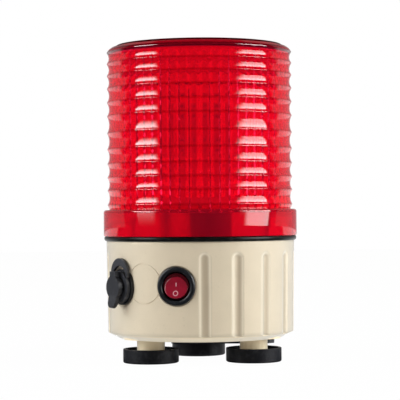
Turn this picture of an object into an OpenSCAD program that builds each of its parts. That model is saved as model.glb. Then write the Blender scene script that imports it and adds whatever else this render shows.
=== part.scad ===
// Rotating beacon light: a red ridged lens over a motor-driven mirror, on a round
// housing that stands on three magnet feet.
// Millimetres, +Z up. The origin is on the lens axis, in the plane that the feet stand on.
// Angles run from +X, counter-clockwise seen from above. The switch faces about -Y.

/* [Housing] */
// Height of the housing's underside above the ground
base_lift = 14.3; // [13.5:0.1:20]
// Height of the housing, from its underside to its rim
base_h = 59.7; // [56:0.1:80]
// How far the rim lies inside the lens skirt
rim_inset = 1.8; // [1:0.1:2.4]
// How much narrower the wall is at its foot than at the rim
base_taper = 0.8; // [0:0.1:1.2]
// Width of the bottom chamfer
base_chamfer_w = 6.8; // [4:0.1:8]
// Height of the bottom chamfer
base_chamfer_h = 3.5; // [2:0.1:6]
// Thickness of the housing's wall
base_wall = 3; // [2:0.1:3.6]
// Thickness of the housing's floor
floor_t = 3; // [2:0.1:5]

/* [Grip grooves] */
// Width of a groove
groove_w = 6; // [3:0.1:8]
// Depth of a groove
groove_depth = 1.2; // [0.5:0.1:1.8]
// Distance from the rim to a groove's round top
groove_below_rim = 7; // [4:0.1:20]
// Angle between two grooves
groove_pitch = 20; // [12:0.5:30]
// Angle of the first groove, just right of the switch
groove_first = 272.5; // [268:0.5:285]
// Number of grooves
groove_count = 15; // [8:1:16]

/* [Magnet feet] */
// Distance from the underside's edge to the centre of each foot
foot_inset = 14.3; // [13:0.1:17]
// Angle of the rear foot
foot_turn = 92.5; // [86:0.5:99]
// Radius of a foot's rubber boot
foot_r = 17; // [15:0.1:18.5]
// Height of a rubber boot
foot_h = 8.5; // [7:0.1:11]
// Wall of a rubber boot
boot_wall = 1.6; // [1:0.1:2.4]
// Floor of a rubber boot, under the magnet
boot_floor = 1; // [0.6:0.1:1.6]
// Depth of the recess between the boot's rim and the steel pot
foot_recess = 2.5; // [1:0.1:3.5]
// Sheet thickness of the steel pot
pot_t = 1.6; // [1:0.1:2]
// Radius of the boss that each foot is screwed to
foot_boss_r = 8.5; // [7:0.1:11]
// Radius of the pad round each boss
foot_pad_r = 16.5; // [14:0.1:18]
// Radius of a foot screw
foot_screw_r = 2; // [1.5:0.1:2.5]

/* [Seal and lens] */
// Height of the seal ring
seal_h = 3; // [2:0.1:5]
// How far the seal ring lies inside the lens skirt
seal_inset = 0.4; // [0.2:0.1:1]
// Radius of the lens skirt, the widest part
skirt_r = 60; // [59.5:0.1:62]
// Height of the lens skirt
skirt_h = 16.2; // [15:0.1:20]
// Wall of the lens skirt
skirt_wall = 3; // [2:0.1:3.2]
// Radius of the fillet on the skirt's upper edge
skirt_fillet = 1.6; // [0.5:0.1:2]
// Step from the skirt in to the tips of the ridges
skirt_step = 2.6; // [2:0.1:3.2]
// Depth of the hollow band between two ridges
band_depth = 1.2; // [0.5:0.1:1.6]
// Height of each band between two ridges, from the lowest up
band_heights = [9, 8, 8.5, 9, 10, 10.5, 8.5, 8.5, 8, 7.5, 7];
// Distance from the skirt to the lowest ridge
first_ridge_h = 2.9; // [2:0.1:5]
// Radius of the shoulder round the top
shoulder_r = 3; // [2:0.1:5]
// Distance from the ridges in to the raised disc on top
crown_inset = 6; // [5:0.1:12]
// Height of the raised disc
crown_h = 1.4; // [0.4:0.1:2]
// Wall of the lens, measured at the bottom of a band
lens_wall = 3; // [2.2:0.1:3.2]
// Thickness of the lens top
lens_top_t = 3; // [2:0.1:5]
// Number of upright flutes inside the lens
flute_count = 60; // [36:1:72]
// Depth of a flute
flute_depth = 0.8; // [0.4:0.1:1]

/* [Twist lock] */
// Angle through which the lens turns to unlock
twist_angle = 25; // [20:1:30]
// Arc of each lug in the lens
lug_arc = 14; // [10:1:16]
// Height of each lug
lug_h = 3.5; // [2:0.1:5]
// Height of the lugs' underside above the skirt's lower edge
lug_lift = 5.4; // [3:0.1:6]
// Thickness of the hook's ledge
ledge_t = 2; // [1.5:0.1:3]

/* [Decks] */
// Thickness of the chassis deck that closes the housing
deck_t = 2.5; // [2:0.1:4]
// Height from the chassis deck to the gear deck
deck_gap = 19; // [18.4:0.1:22]
// Thickness of the gear deck
gear_deck_t = 2; // [1.5:0.1:3]
// Gap between the gear deck and the lens
deck_lens_gap = 2.4; // [1.9:0.1:5]
// Height of the gear deck's upturned rim
deck_rim_h = 5.5; // [2:0.1:8]
// Wall of the gear deck's upturned rim
deck_rim_wall = 1.6; // [1:0.1:2]
// Radius of the screws that hold the decks
deck_screw_r = 1.4; // [1:0.1:1.6]
// Distance from the housing's inner wall to each column of the chassis deck
column_inset = 8.4; // [7.6:0.1:9.7]
// Radius of a column
column_r = 4; // [3:0.1:4.6]
// Distance from the gear deck's edge to each of its legs
leg_inset = 6; // [5:0.1:8]
// Radius of a leg
leg_r = 4; // [3:0.1:5]

/* [Gears] */
// Gear module
gear_module = 0.8; // [0.7:0.05:0.8]
// Teeth of the drive gear
gear_teeth = 84; // [70:1:86]
// Teeth of the pinion
pinion_teeth = 14; // [14:1:16]
// Width of the drive gear
gear_w = 4; // [3:0.1:6]
// Gap between the gear deck and the drive gear
gear_gap = 2; // [1.9:0.1:4]
// Extra distance between the two gears' centres
gear_play = 0.05; // [0:0.01:0.1]
// Angle of the motor, seen from the axis
motor_angle = 279; // [274:0.5:285]

/* [Motor] */
// Radius of the motor's can
motor_r = 12.4; // [10:0.1:12.6]
// Height of the motor's can
motor_h = 15.8; // [12:0.1:15.8]
// Height of the motor's end cap
motor_cap_h = 2.6; // [1.5:0.1:2.6]
// Radius of the motor's shaft
shaft_r = 1.5; // [1:0.1:2]
// Distance from the motor's shaft to each of its screws
motor_screw_off = 8.5; // [7.6:0.1:9.5]

/* [Lamp] */
// Outer radius of the hollow post that carries the lamp
post_r = 6; // [5.5:0.1:6.5]
// Radius of the bore through the post
post_bore_r = 4; // [3.4:0.1:4.4]
// Height of the post above its flange
post_h = 15.8; // [14:0.1:24]
// Radius of the lamp holder
holder_r = 9.5; // [9.2:0.1:11]
// Height of the lamp holder
holder_h = 20; // [18:0.1:26]
// Radius of the lamp's metal cap
lamp_cap_r = 7.5; // [6.5:0.1:7.8]
// Height of the lamp's metal cap
lamp_cap_h = 14; // [12:0.1:18]
// Largest radius of the lamp's glass
glass_r = 9; // [8:0.1:10.5]
// Height of the lamp's glass above its cap
glass_h = 26; // [24:0.1:32]

/* [Reflector] */
// Focal length of the reflector
focus = 15; // [14:0.1:17]
// Width of the reflector
mirror_w = 42; // [38:0.1:50]
// Height of the reflector above the lamp's centre
mirror_up = 40; // [25:0.1:42]
// Height of the reflector below the lamp's centre
mirror_down = 32; // [24:0.1:34]
// Thickness of the reflector
mirror_t = 1.4; // [1:0.1:2]
// Reach of the reflector's fixing pad below the lamp's centre
mirror_pad_down = 18; // [16:0.1:22]
// Reach of the reflector's fixing pad above the lamp's centre
mirror_pad_up = 14; // [12:0.1:20]
// Thickness of the bracket behind the reflector
bracket_t = 1.5; // [1:0.1:2.5]
// Width of the bracket
bracket_w = 16; // [12:0.1:20]

/* [Switch] */
// Angle of the switch
switch_angle = 255.6; // [254:0.1:258]
// Height of the switch above the housing's underside
switch_h = 33.5; // [26:0.1:40]
// Outer radius of the switch bezel
bezel_r = 11.5; // [11:0.1:12]
// Thickness of the bezel
bezel_t = 2.6; // [1.5:0.1:3]
// Radius of the opening in the bezel
bezel_hole_r = 8.5; // [8:0.1:9]
// Radius of the switch body behind the bezel
switch_body_r = 10; // [9.8:0.1:10.4]
// Depth of the switch body behind the panel
switch_depth = 17; // [12:0.1:22]
// Tilt of the rocker to each side
rocker_tilt = 9; // [5:0.5:12]

/* [Charging socket] */
// Angle of the charging socket
socket_angle = 215.5; // [213:0.1:220]
// Height of the socket above the housing's underside
socket_h = 32.4; // [26:0.1:40]
// Radius of the socket's flange
socket_flange_r = 10.8; // [10.5:0.1:12]
// Thickness of the socket's flange
socket_flange_t = 2; // [1:0.1:3]
// Radius of the socket's barrel
socket_barrel_r = 6.6; // [6:0.1:7]
// Radius of the socket's bore
socket_bore_r = 5.4; // [4.8:0.1:5.6]
// How far the barrel stands out from the panel
socket_out = 6; // [5:0.1:8]
// Depth of the barrel behind the panel
socket_depth = 14; // [11:0.1:18]

/* [Dust cap] */
// Outer radius of the cap's retaining ring
ring_r = 9.75; // [9:0.05:11]
// Thickness of the retaining ring
ring_t = 2.4; // [1.6:0.1:3]
// Height of the loop on the ring above the socket's centre
loop_rise = 17.4; // [14:0.1:18]
// Outer radius of the loop
loop_r = 8.8; // [7.5:0.1:9.6]
// Thickness of the loop at its top
loop_w = 4.5; // [3:0.1:5]
// Radius of the cap's disc
cap_r = 7; // [6.8:0.1:9]
// Thickness of the cap's disc
cap_t = 2.4; // [1.5:0.1:3.5]
// Width of the cap's hinge
hinge_w = 6; // [4:0.1:8]
// Radius of the hinge's knuckle
knuckle_r = 1.1; // [0.9:0.05:1.3]
// Height of the hinge line above the socket's centre
hinge_rise = 8.4; // [8.2:0.1:9]
// Width of the pull tab
tab_w = 8; // [5:0.1:9]
// Length of the pull tab below the disc
tab_len = 5.6; // [4:0.1:9]

/* [Battery] */
// Radius of a battery cell
cell_r = 7.25; // [6.5:0.05:7.25]
// Length of a battery cell
cell_len = 50.5; // [44:0.1:50.5]
// Wall of the battery tray
tray_wall = 1; // [0.8:0.1:1.2]
// Distance from the underside's edge to the battery tray
battery_gap = 10.85; // [10.8:0.05:11.4]
// Distance of the battery's centre behind the lens axis
battery_y = 9; // [8:0.1:9.4]
// Length of the battery cover
cover_len = 64; // [63.6:0.1:64.4]
// Width of the battery cover
cover_w = 32; // [31.6:0.1:33]
// Thickness of the battery cover
cover_t = 4.2; // [3:0.1:5]
// Corner radius of the battery cover
cover_corner_r = 6; // [5.5:0.1:8]
// Radius of a cover screw
cover_screw_r = 1.2; // [0.9:0.1:1.2]

/* [Charging board] */
// Length of the circuit board
board_len = 40; // [30:0.5:42]
// Width of the circuit board
board_w = 22; // [18:0.5:22]
// Thickness of the circuit board
board_t = 1.6; // [1:0.1:2]
// Height of the posts under the board
board_lift = 6.7; // [5:0.1:10]
// Distance from the underside's edge to the board
board_gap = 8.6; // [8.1:0.1:9.1]

/* [Fits] */
// Running clearance of a shaft or pin in its hole, on the radius
run_fit = 0.05; // [0.02:0.01:0.08]
// Clearance of a fixed piece in its hole, on the radius
seat_fit = 0.1; // [0.05:0.01:0.2]
// Gap kept at the ends of a running piece
end_gap = 0.2; // [0.1:0.05:0.3]

/* [Hidden] */
$fn = 72;

// Overlap that a cutter has past the face it cuts
cut = 1;
// Colours
cream = [0.87, 0.82, 0.72];
black_plastic = [0.1, 0.1, 0.11];
deck_plastic = [0.82, 0.77, 0.67];
black_rubber = [0.13, 0.13, 0.14];
lens_red = [0.85, 0.05, 0.12, 0.55];
steel = [0.72, 0.73, 0.75];
dark_steel = [0.25, 0.25, 0.27];
brass = [0.8, 0.65, 0.32];

// Radii that follow from the skirt, the widest part
base_top_r = skirt_r - rim_inset;
base_low_r = base_top_r - base_taper;
base_bottom_r = base_low_r - base_chamfer_w;
foot_circle_r = base_bottom_r - foot_inset;
column_circle_r = base_top_r - base_wall - column_inset;
seal_r = skirt_r - seal_inset;
ridge_r = skirt_r - skirt_step;
crown_r = ridge_r - crown_inset;
lens_in_r = ridge_r - band_depth - lens_wall;
gear_deck_r = lens_in_r - flute_depth - deck_lens_gap;
leg_circle_r = gear_deck_r - leg_inset;

// Heights that follow from the sizes above
shelf_rise = 0.8;
floor_z = base_lift + floor_t;
rim_z = base_lift + base_h;
lens_z = rim_z + seal_h;
skirt_top_z = lens_z + skirt_h;
shelf_z = skirt_top_z - lens_wall + shelf_rise;
ridge_z0 = skirt_top_z + first_ridge_h;
function sum_to(v, n) = n <= 0 ? 0 : v[n - 1] + sum_to(v, n - 1);
barrel_h = sum_to(band_heights, len(band_heights));
shoulder_z = ridge_z0 + barrel_h;
lens_top_z = shoulder_z + shoulder_r + crown_h;
deck_z = rim_z - deck_t;
gear_deck_z = rim_z + deck_gap;
gear_deck_top = gear_deck_z + gear_deck_t;
post_flange_t = 1.2;
gear_z = gear_deck_top + gear_gap;
gear_top = gear_z + gear_w;
post_top = gear_deck_top + post_flange_t + post_h;
holder_grip = 4;
holder_z = post_top - holder_grip;
holder_top = holder_z + holder_h;
lamp_cap_z = holder_top + 3 - lamp_cap_h;
lamp_z = lamp_cap_z + lamp_cap_h + 0.55 * glass_h;

// Plain helpers
function arc(c, r, a0, a1, n) =
    [for (i = [0 : n]) c + r * [cos(a0 + (a1 - a0) * i / n), sin(a0 + (a1 - a0) * i / n)]];
function wall_r(z) = base_low_r
    + (base_top_r - base_low_r) * (z - base_lift - base_chamfer_h) / (base_h - base_chamfer_h);

module tube(r_out, r_in, h) {
    difference() {
        cylinder(r = r_out, h = h);
        translate([0, 0, -cut]) cylinder(r = r_in, h = h + 2 * cut);
    }
}

module sector(r_in, r_out, h, from, arc_angle) {
    rotate([0, 0, from]) rotate_extrude(angle = arc_angle)
        translate([r_in, 0]) square([r_out - r_in, h]);
}

module pan_screw(shank_r, shank_len, head_r, head_h) {
    translate([0, 0, -shank_len]) cylinder(r = shank_r, h = shank_len);
    rotate_extrude() polygon(concat(
        [[0, 0], [head_r, 0]],
        arc([head_r - head_h / 2, head_h / 2], head_h / 2, 0, 90, 4),
        [[0, head_h]]));
}

module rounded_plate(length, width, corner_r, h) {
    linear_extrude(h) {
        square([length - 2 * corner_r, width], center = true);
        square([length, width - 2 * corner_r], center = true);
        for (x = [-1, 1])
            for (y = [-1, 1])
                translate([x * (length / 2 - corner_r), y * (width / 2 - corner_r)])
                    circle(r = corner_r);
    }
}

module at_angle(angle, r, z = 0) {
    rotate([0, 0, angle]) translate([r, 0, z]) children();
}

// Puts a piece on the side wall: x to the viewer's right, y up, z outwards
module on_wall(angle, r, z) {
    at_angle(angle, r, z) rotate([90, 0, 90]) children();
}

/* [Hidden] */
// Housing: the flats that the switch and the socket sit on
spot_r = 12.2;
spot_drop = spot_r * spot_r / (2 * base_low_r);
switch_z = base_lift + switch_h;
socket_z = base_lift + socket_h;
switch_seat_r = wall_r(switch_z) - spot_drop;
socket_seat_r = wall_r(socket_z) - spot_drop;
pad_depth = 5;
pad_r = 13;
switch_hole_r = switch_body_r + seat_fit;
socket_hole_r = socket_barrel_r + seat_fit;
blank_angle = 234.1;
blank_r = 12;
blank_h = 34.7;
line_w = 0.5;
line_depth = 0.35;
pilot_depth = 12;
foot_pilot_depth = 14;
foot_core_r = 5;
foot_core_h = 5;
cover_boss_r = 2.85;
cover_boss_h = 6.7;
tray_gap = 0.25;
cell_pitch = 2 * cell_r;
tray_len = cell_len + 2 * tray_wall;
battery_at = [base_bottom_r - battery_gap - tray_len / 2, battery_y];
tray_w = 2 * cell_pitch + 2 * tray_wall;
tray_h = 2 * cell_pitch + tray_wall;
cover_screw_x = (cover_len + tray_len) / 4 + tray_gap / 2;
board_x = board_w / 2 + board_gap - base_bottom_r;
board_post_r = 2.5;
board_screw_r = 1;
board_inset = 2.5;
groove_cut_r = (groove_w * groove_w / 4 + groove_depth * groove_depth) / (2 * groove_depth);
groove_top_z = rim_z - groove_below_rim - groove_w / 2;
wall_lean = atan((base_top_r - base_low_r) / (base_h - base_chamfer_h));

module housing_outside(inset = 0) {
    rotate_extrude() polygon([
        [0, base_lift], [base_bottom_r - inset, base_lift],
        [base_low_r - inset, base_lift + base_chamfer_h],
        [base_top_r - inset, rim_z], [0, rim_z]]);
}

module housing_inside() {
    inner_low_r = wall_r(floor_z + base_chamfer_h) - base_wall;
    rotate_extrude() polygon([
        [0, floor_z], [base_bottom_r - base_wall, floor_z],
        [inner_low_r, floor_z + base_chamfer_h],
        [base_top_r - base_wall, rim_z], [base_top_r - base_wall, rim_z + cut], [0, rim_z + cut]]);
}

module groove_cutter() {
    low_r = wall_r(base_lift) + groove_cut_r - groove_depth;
    translate([low_r, 0, base_lift]) rotate([0, wall_lean, 0]) {
        cylinder(r = groove_cut_r, h = groove_top_z - base_lift);
        translate([0, 0, groove_top_z - base_lift]) sphere(r = groove_cut_r);
    }
}

module scribed_ring() {
    intersection() {
        on_wall(blank_angle, base_bottom_r, base_lift + blank_h)
            tube(blank_r + line_w / 2, blank_r - line_w / 2, base_low_r);
        difference() {
            housing_outside(-cut);
            housing_outside(line_depth);
        }
    }
}

module foot_places() {
    for (i = [0 : 2]) at_angle(foot_turn + 120 * i, foot_circle_r) children();
}

module column_places() {
    for (a = [60 : 120 : 300]) at_angle(a, column_circle_r) children();
}

module board_corners() {
    for (x = [-1, 1])
        for (y = [-1, 1])
            translate([board_x + x * (board_w / 2 - board_inset), y * (board_len / 2 - board_inset), 0])
                children();
}

module cover_screw_places() {
    for (x = [-1, 1]) translate([battery_at.x + x * cover_screw_x, battery_at.y, 0]) children();
}

module base_housing() {
    pot_top = foot_h - foot_recess;
    color(cream) difference() {
        union() {
            difference() {
                housing_outside();
                housing_inside();
            }
            intersection() {
                housing_outside();
                union() {
                    on_wall(switch_angle, switch_seat_r - pad_depth, switch_z)
                        cylinder(r = pad_r, h = pad_depth);
                    on_wall(socket_angle, socket_seat_r - pad_depth, socket_z)
                        cylinder(r = pad_r, h = pad_depth);
                    column_places() translate([0, 0, floor_z - cut])
                        cylinder(r = column_r, h = deck_z - floor_z + cut);
                    foot_places() translate([0, 0, floor_z - cut])
                        cylinder(r = foot_core_r, h = foot_core_h + cut);
                }
            }
            board_corners() translate([0, 0, floor_z - cut])
                cylinder(r = board_post_r, h = board_lift + cut);
            cover_screw_places() translate([0, 0, floor_z - cut])
                cylinder(r = cover_boss_r, h = cover_boss_h + cut);
            foot_places() translate([0, 0, pot_top])
                cylinder(r = foot_boss_r, h = floor_z - pot_top);
            intersection() {
                foot_places() translate([0, 0, base_lift]) cylinder(r = foot_pad_r, h = floor_t);
                cylinder(r = base_low_r - base_wall, h = rim_z);
            }
        }
        for (i = [0 : groove_count - 1]) rotate([0, 0, groove_first + groove_pitch * i])
            groove_cutter();
        scribed_ring();
        on_wall(switch_angle, switch_seat_r, switch_z) cylinder(r = spot_r, h = pad_depth);
        on_wall(socket_angle, socket_seat_r, socket_z) cylinder(r = spot_r, h = pad_depth);
        on_wall(switch_angle, switch_seat_r - 2 * pad_depth, switch_z)
            cylinder(r = switch_hole_r, h = 3 * pad_depth);
        on_wall(socket_angle, socket_seat_r - 2 * pad_depth, socket_z)
            cylinder(r = socket_hole_r, h = 3 * pad_depth);
        translate([battery_at.x, battery_at.y, base_lift + floor_t / 2])
            cube([tray_len + 2 * tray_gap, tray_w + 2 * tray_gap, floor_t + 2 * cut], center = true);
        column_places() translate([0, 0, deck_z - pilot_depth])
            cylinder(r = deck_screw_r, h = pilot_depth + cut);
        foot_places() translate([0, 0, pot_top - cut])
            cylinder(r = foot_screw_r, h = foot_pilot_depth + cut);
        board_corners() translate([0, 0, floor_z + board_lift - 5])
            cylinder(r = board_screw_r, h = 5 + cut);
        cover_screw_places() translate([0, 0, base_lift - cut])
            cylinder(r = cover_screw_r, h = floor_t + cover_boss_h - 1 + cut);
    }
}

// Seal
seal_in_r = base_top_r - base_wall + end_gap;
seal_round = 1.2;

module seal_ring() {
    color(black_rubber) rotate_extrude() translate([0, rim_z]) polygon(concat(
        [[seal_in_r, 0]],
        arc([seal_r - seal_round, seal_round], seal_round, -90, 0, 5),
        arc([seal_r - seal_round, seal_h - seal_round], seal_round, 0, 90, 5),
        [[seal_in_r, seal_h]]));
}

// Chassis deck with its three hooks for the twist lock
deck_r = base_top_r - base_wall - end_gap;
hook_r = deck_r - end_gap;
hook_wall = 2.4;
ledge_r = skirt_r - skirt_wall - 0.6;
lug_z = lens_z + lug_lift;
ledge_z = lug_z + lug_h + seat_fit;
lug_in_r = hook_r + 0.5;
stop_arc = 1.5;
lug_play = 0.5;
hook_arc = twist_angle - 1 + stop_arc + lug_play;
hook_angles = [90, 210, 330];
wire_hole_r = 8;
leg_angles = [0, 120, 240];

module leg_places() {
    for (a = leg_angles) at_angle(a, leg_circle_r) children();
}

module chassis_deck() {
    color(deck_plastic) {
        difference() {
            translate([0, 0, deck_z]) cylinder(r = deck_r, h = deck_t);
            translate([0, 0, deck_z - cut]) {
                cylinder(r = wire_hole_r, h = deck_t + 2 * cut);
                column_places() cylinder(r = deck_screw_r + seat_fit, h = deck_t + 2 * cut);
                leg_places() cylinder(r = deck_screw_r + seat_fit, h = deck_t + 2 * cut);
            }
        }
        for (a = hook_angles) {
            start = a - hook_arc / 2;
            translate([0, 0, rim_z])
                sector(hook_r - hook_wall, hook_r, ledge_z + ledge_t - rim_z, start, hook_arc);
            translate([0, 0, ledge_z])
                sector(hook_r - cut, ledge_r, ledge_t, start, hook_arc);
            translate([0, 0, lug_z])
                sector(hook_r - cut, ledge_r, ledge_z - lug_z, start, stop_arc);
        }
    }
}

// Screws of both decks
screw_head_r = 2.8;
screw_head_h = 2;
screw_slack = 1;

module deck_screws() {
    color(steel) column_places() translate([0, 0, rim_z])
        pan_screw(deck_screw_r - run_fit, deck_t + pilot_depth - screw_slack, screw_head_r, screw_head_h);
}

module leg_screws() {
    color(steel) leg_places() translate([0, 0, deck_z]) mirror([0, 0, 1])
        pan_screw(deck_screw_r - run_fit, deck_t + pilot_depth - screw_slack, screw_head_r, screw_head_h);
}

// Gear deck on its legs
gear_dist = gear_module * (gear_teeth + pinion_teeth) / 2 + gear_play;
motor_boss_r = 4;
motor_boss_h = 1;
motor_screw_r = 1.2;

module at_motor() {
    at_angle(motor_angle, gear_dist) children();
}

module motor_screw_places() {
    at_motor() for (y = [-1, 1]) translate([0, y * motor_screw_off, 0]) children();
}

module gear_deck() {
    color(deck_plastic) difference() {
        union() {
            translate([0, 0, gear_deck_z]) cylinder(r = gear_deck_r, h = gear_deck_t);
            translate([0, 0, gear_deck_z])
                tube(gear_deck_r, gear_deck_r - deck_rim_wall, gear_deck_t + deck_rim_h);
            leg_places() translate([0, 0, rim_z]) cylinder(r = leg_r, h = deck_gap + cut);
        }
        translate([0, 0, gear_deck_z - cut]) {
            cylinder(r = post_r + seat_fit, h = gear_deck_t + 2 * cut);
            at_motor() cylinder(r = motor_boss_r + seat_fit, h = gear_deck_t + 2 * cut);
            motor_screw_places() cylinder(r = motor_screw_r + seat_fit, h = gear_deck_t + 2 * cut);
        }
        leg_places() translate([0, 0, rim_z - cut]) cylinder(r = deck_screw_r, h = pilot_depth + cut);
    }
}

// Lamp post, its nut and the clip that keeps the rotor on it
post_flange_r = 12;
post_tail = 4.5;
nut_af = 17;
nut_h = 3.5;
bush_z = gear_deck_top + post_flange_t + end_gap / 2;
bush_top = bush_z + 8.2;
clip_t = 1;
clip_depth = 0.6;
clip_z = bush_top + end_gap;

module lamp_post() {
    color(steel) difference() {
        translate([0, 0, gear_deck_z - post_tail]) {
            cylinder(r = post_r, h = post_top - gear_deck_z + post_tail);
            translate([0, 0, post_tail + gear_deck_t]) cylinder(r = post_flange_r, h = post_flange_t);
        }
        translate([0, 0, gear_deck_z - post_tail - cut])
            cylinder(r = post_bore_r, h = post_top - gear_deck_z + post_tail + 2 * cut);
        translate([0, 0, clip_z])
            tube(post_r + cut, post_r - clip_depth, clip_t + end_gap / 2);
    }
}

module post_nut() {
    color(brass) translate([0, 0, gear_deck_z - nut_h]) difference() {
        cylinder(r = nut_af / sqrt(3), h = nut_h, $fn = 6);
        translate([0, 0, -cut]) cylinder(r = post_r, h = nut_h + 2 * cut);
    }
}

module rotor_clip() {
    color(steel) translate([0, 0, clip_z])
        sector(post_r - clip_depth, post_r + 2, clip_t, 30, 300);
}

// Lamp holder and lamp
holder_floor_z = lamp_cap_z - 1;
lamp_pin_r = 1;
lamp_pin_z = lamp_cap_z + lamp_cap_h - 8;
slot_w = 2.6;
lamp_lock = 14;

module lamp_holder() {
    color([0.9, 0.88, 0.82]) difference() {
        translate([0, 0, holder_z]) cylinder(r = holder_r, h = holder_h);
        translate([0, 0, holder_z - cut]) cylinder(r = post_r + run_fit, h = holder_grip + cut);
        translate([0, 0, holder_z]) cylinder(r = post_bore_r, h = holder_h);
        translate([0, 0, holder_floor_z])
            cylinder(r = lamp_cap_r + seat_fit, h = holder_top - holder_floor_z + cut);
        for (a = [0, 180]) rotate([0, 0, a]) {
            translate([0, -slot_w / 2, lamp_pin_z - slot_w / 2])
                cube([holder_r + cut, slot_w, holder_top - lamp_pin_z + slot_w]);
            translate([0, 0, lamp_pin_z - slot_w / 2])
                sector(lamp_cap_r - cut, holder_r + cut, slot_w, 0, 24);
        }
    }
}

module bulb_cap() {
    color(brass) translate([0, 0, lamp_cap_z]) difference() {
        union() {
            cylinder(r = lamp_cap_r, h = lamp_cap_h);
            translate([0, 0, -1]) cylinder(r = post_bore_r + 0.5, h = 1.5);
            for (a = [lamp_lock, lamp_lock + 180]) rotate([0, 0, a])
                translate([0, 0, lamp_pin_z - lamp_cap_z]) rotate([0, 90, 0])
                    cylinder(r = lamp_pin_r, h = lamp_cap_r + 1.4);
        }
        translate([0, 0, lamp_cap_h - 5]) cylinder(r = lamp_cap_r - 0.6, h = 5 + cut);
    }
}

glass_t = 0.8;
neck_r = lamp_cap_r - 0.7;
glass_z = lamp_cap_z + lamp_cap_h - 4.5;
glass_ball_z = lamp_cap_z + lamp_cap_h + glass_h - glass_r;

// Half outline of the glass: a straight neck, a cone and a round top
function glass_outline(t) = concat(
    [[0, glass_z + (t > 0 ? -cut : 0)], [neck_r - t, glass_z + (t > 0 ? -cut : 0)]],
    [[neck_r - t, lamp_cap_z + lamp_cap_h]],
    arc([0, glass_ball_z], glass_r - t, -30, 90, 12));

module bulb_glass() {
    color([0.95, 0.95, 0.9, 0.4]) difference() {
        rotate_extrude() polygon(glass_outline(0));
        rotate_extrude() polygon(glass_outline(glass_t));
    }
}

filament_w = 5;
filament_r = 0.4;

module filament() {
    color([0.9, 0.8, 0.5]) {
        for (x = [-1, 1]) translate([x * filament_w / 2, 0, lamp_cap_z + lamp_cap_h - 5])
            cylinder(r = filament_r, h = lamp_z - lamp_cap_z - lamp_cap_h + 5);
        translate([0, 0, lamp_z]) rotate([90, 0, 0])
            rotate_extrude(angle = 180) translate([filament_w / 2, 0]) circle(r = filament_r);
    }
}

// Leads from the board's terminals up through the post to the lamp
lead_r = 0.8;
lead_gap = 1.6;
lead_bend_r = 5;
lead_run_z = (deck_z + floor_z + tray_h) / 2;
terminal_w = 7;
terminal_len = 10;
terminal_h = 8;
wire_entry = 1.5;
terminal_x = board_x + board_w / 2 - terminal_w / 2 - 1.5;
board_z = floor_z + board_lift;
terminal_top = board_z + board_t + terminal_h;

module lamp_leads() {
    run_len = -terminal_x - 2 * lead_bend_r;
    color([0.75, 0.1, 0.1]) for (y = [-lead_gap, lead_gap]) translate([0, y, 0]) {
        translate([terminal_x, 0, terminal_top])
            cylinder(r = lead_r, h = lead_run_z - lead_bend_r - terminal_top);
        translate([terminal_x + lead_bend_r, 0, lead_run_z - lead_bend_r]) rotate([90, 0, 0])
            rotate([0, 0, 90]) rotate_extrude(angle = 90) translate([lead_bend_r, 0]) circle(r = lead_r);
        translate([terminal_x + lead_bend_r, 0, lead_run_z]) rotate([0, 90, 0])
            cylinder(r = lead_r, h = run_len);
        translate([-lead_bend_r, 0, lead_run_z + lead_bend_r]) rotate([90, 0, 0])
            rotate([0, 0, -90]) rotate_extrude(angle = 90) translate([lead_bend_r, 0]) circle(r = lead_r);
        translate([0, 0, lead_run_z + lead_bend_r])
            cylinder(r = lead_r, h = holder_floor_z - lead_run_z - lead_bend_r);
    }
}

// Motor under the gear deck
motor_top = gear_deck_z;
motor_bottom = motor_top - motor_h;
motor_floor = 2;
motor_thread = 3;
motor_cap_step = 0.6;
motor_head_r = 2.2;
motor_head_h = 1.4;
motor_tab = [4, 2.4, 0.6];
motor_tab_y = 6;
shaft_top = gear_top + 1;

module motor_can() {
    color(dark_steel) difference() {
        union() {
            at_motor() translate([0, 0, motor_bottom]) cylinder(r = motor_r, h = motor_h);
            at_motor() translate([0, 0, motor_top - cut]) cylinder(r = motor_boss_r, h = motor_boss_h + cut);
        }
        at_motor() translate([0, 0, motor_bottom + motor_floor])
            cylinder(r = shaft_r + run_fit, h = motor_h + motor_boss_h);
        motor_screw_places() translate([0, 0, motor_top - motor_thread])
            cylinder(r = motor_screw_r, h = motor_thread + cut);
    }
}

module motor_cap() {
    color([0.85, 0.85, 0.8]) at_motor() {
        translate([0, 0, motor_bottom - motor_cap_h]) cylinder(r = motor_r - motor_cap_step, h = motor_cap_h);
        for (y = [-1, 1]) translate([-motor_r, y * motor_tab_y, motor_bottom - motor_cap_h / 2])
            cube(motor_tab, center = true);
    }
}

module motor_screws() {
    color(steel) motor_screw_places() translate([0, 0, gear_deck_top])
        pan_screw(motor_screw_r - run_fit, gear_deck_t + motor_thread - 0.5, motor_head_r, motor_head_h);
}

// Switch: body with bezel, rocker and blades, in the wall's own frame
bezel_round = 1.2;
pivot_z = -1.5;
pivot_r = 1.2;
rocker_r = bezel_hole_r - 0.3;
rocker_face_z = 1.4;
rocker_back = 4.5;
axle_reach = switch_body_r - 0.7;
cavity_depth = 9;

module on_switch() {
    on_wall(switch_angle, switch_seat_r, switch_z) children();
}

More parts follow.
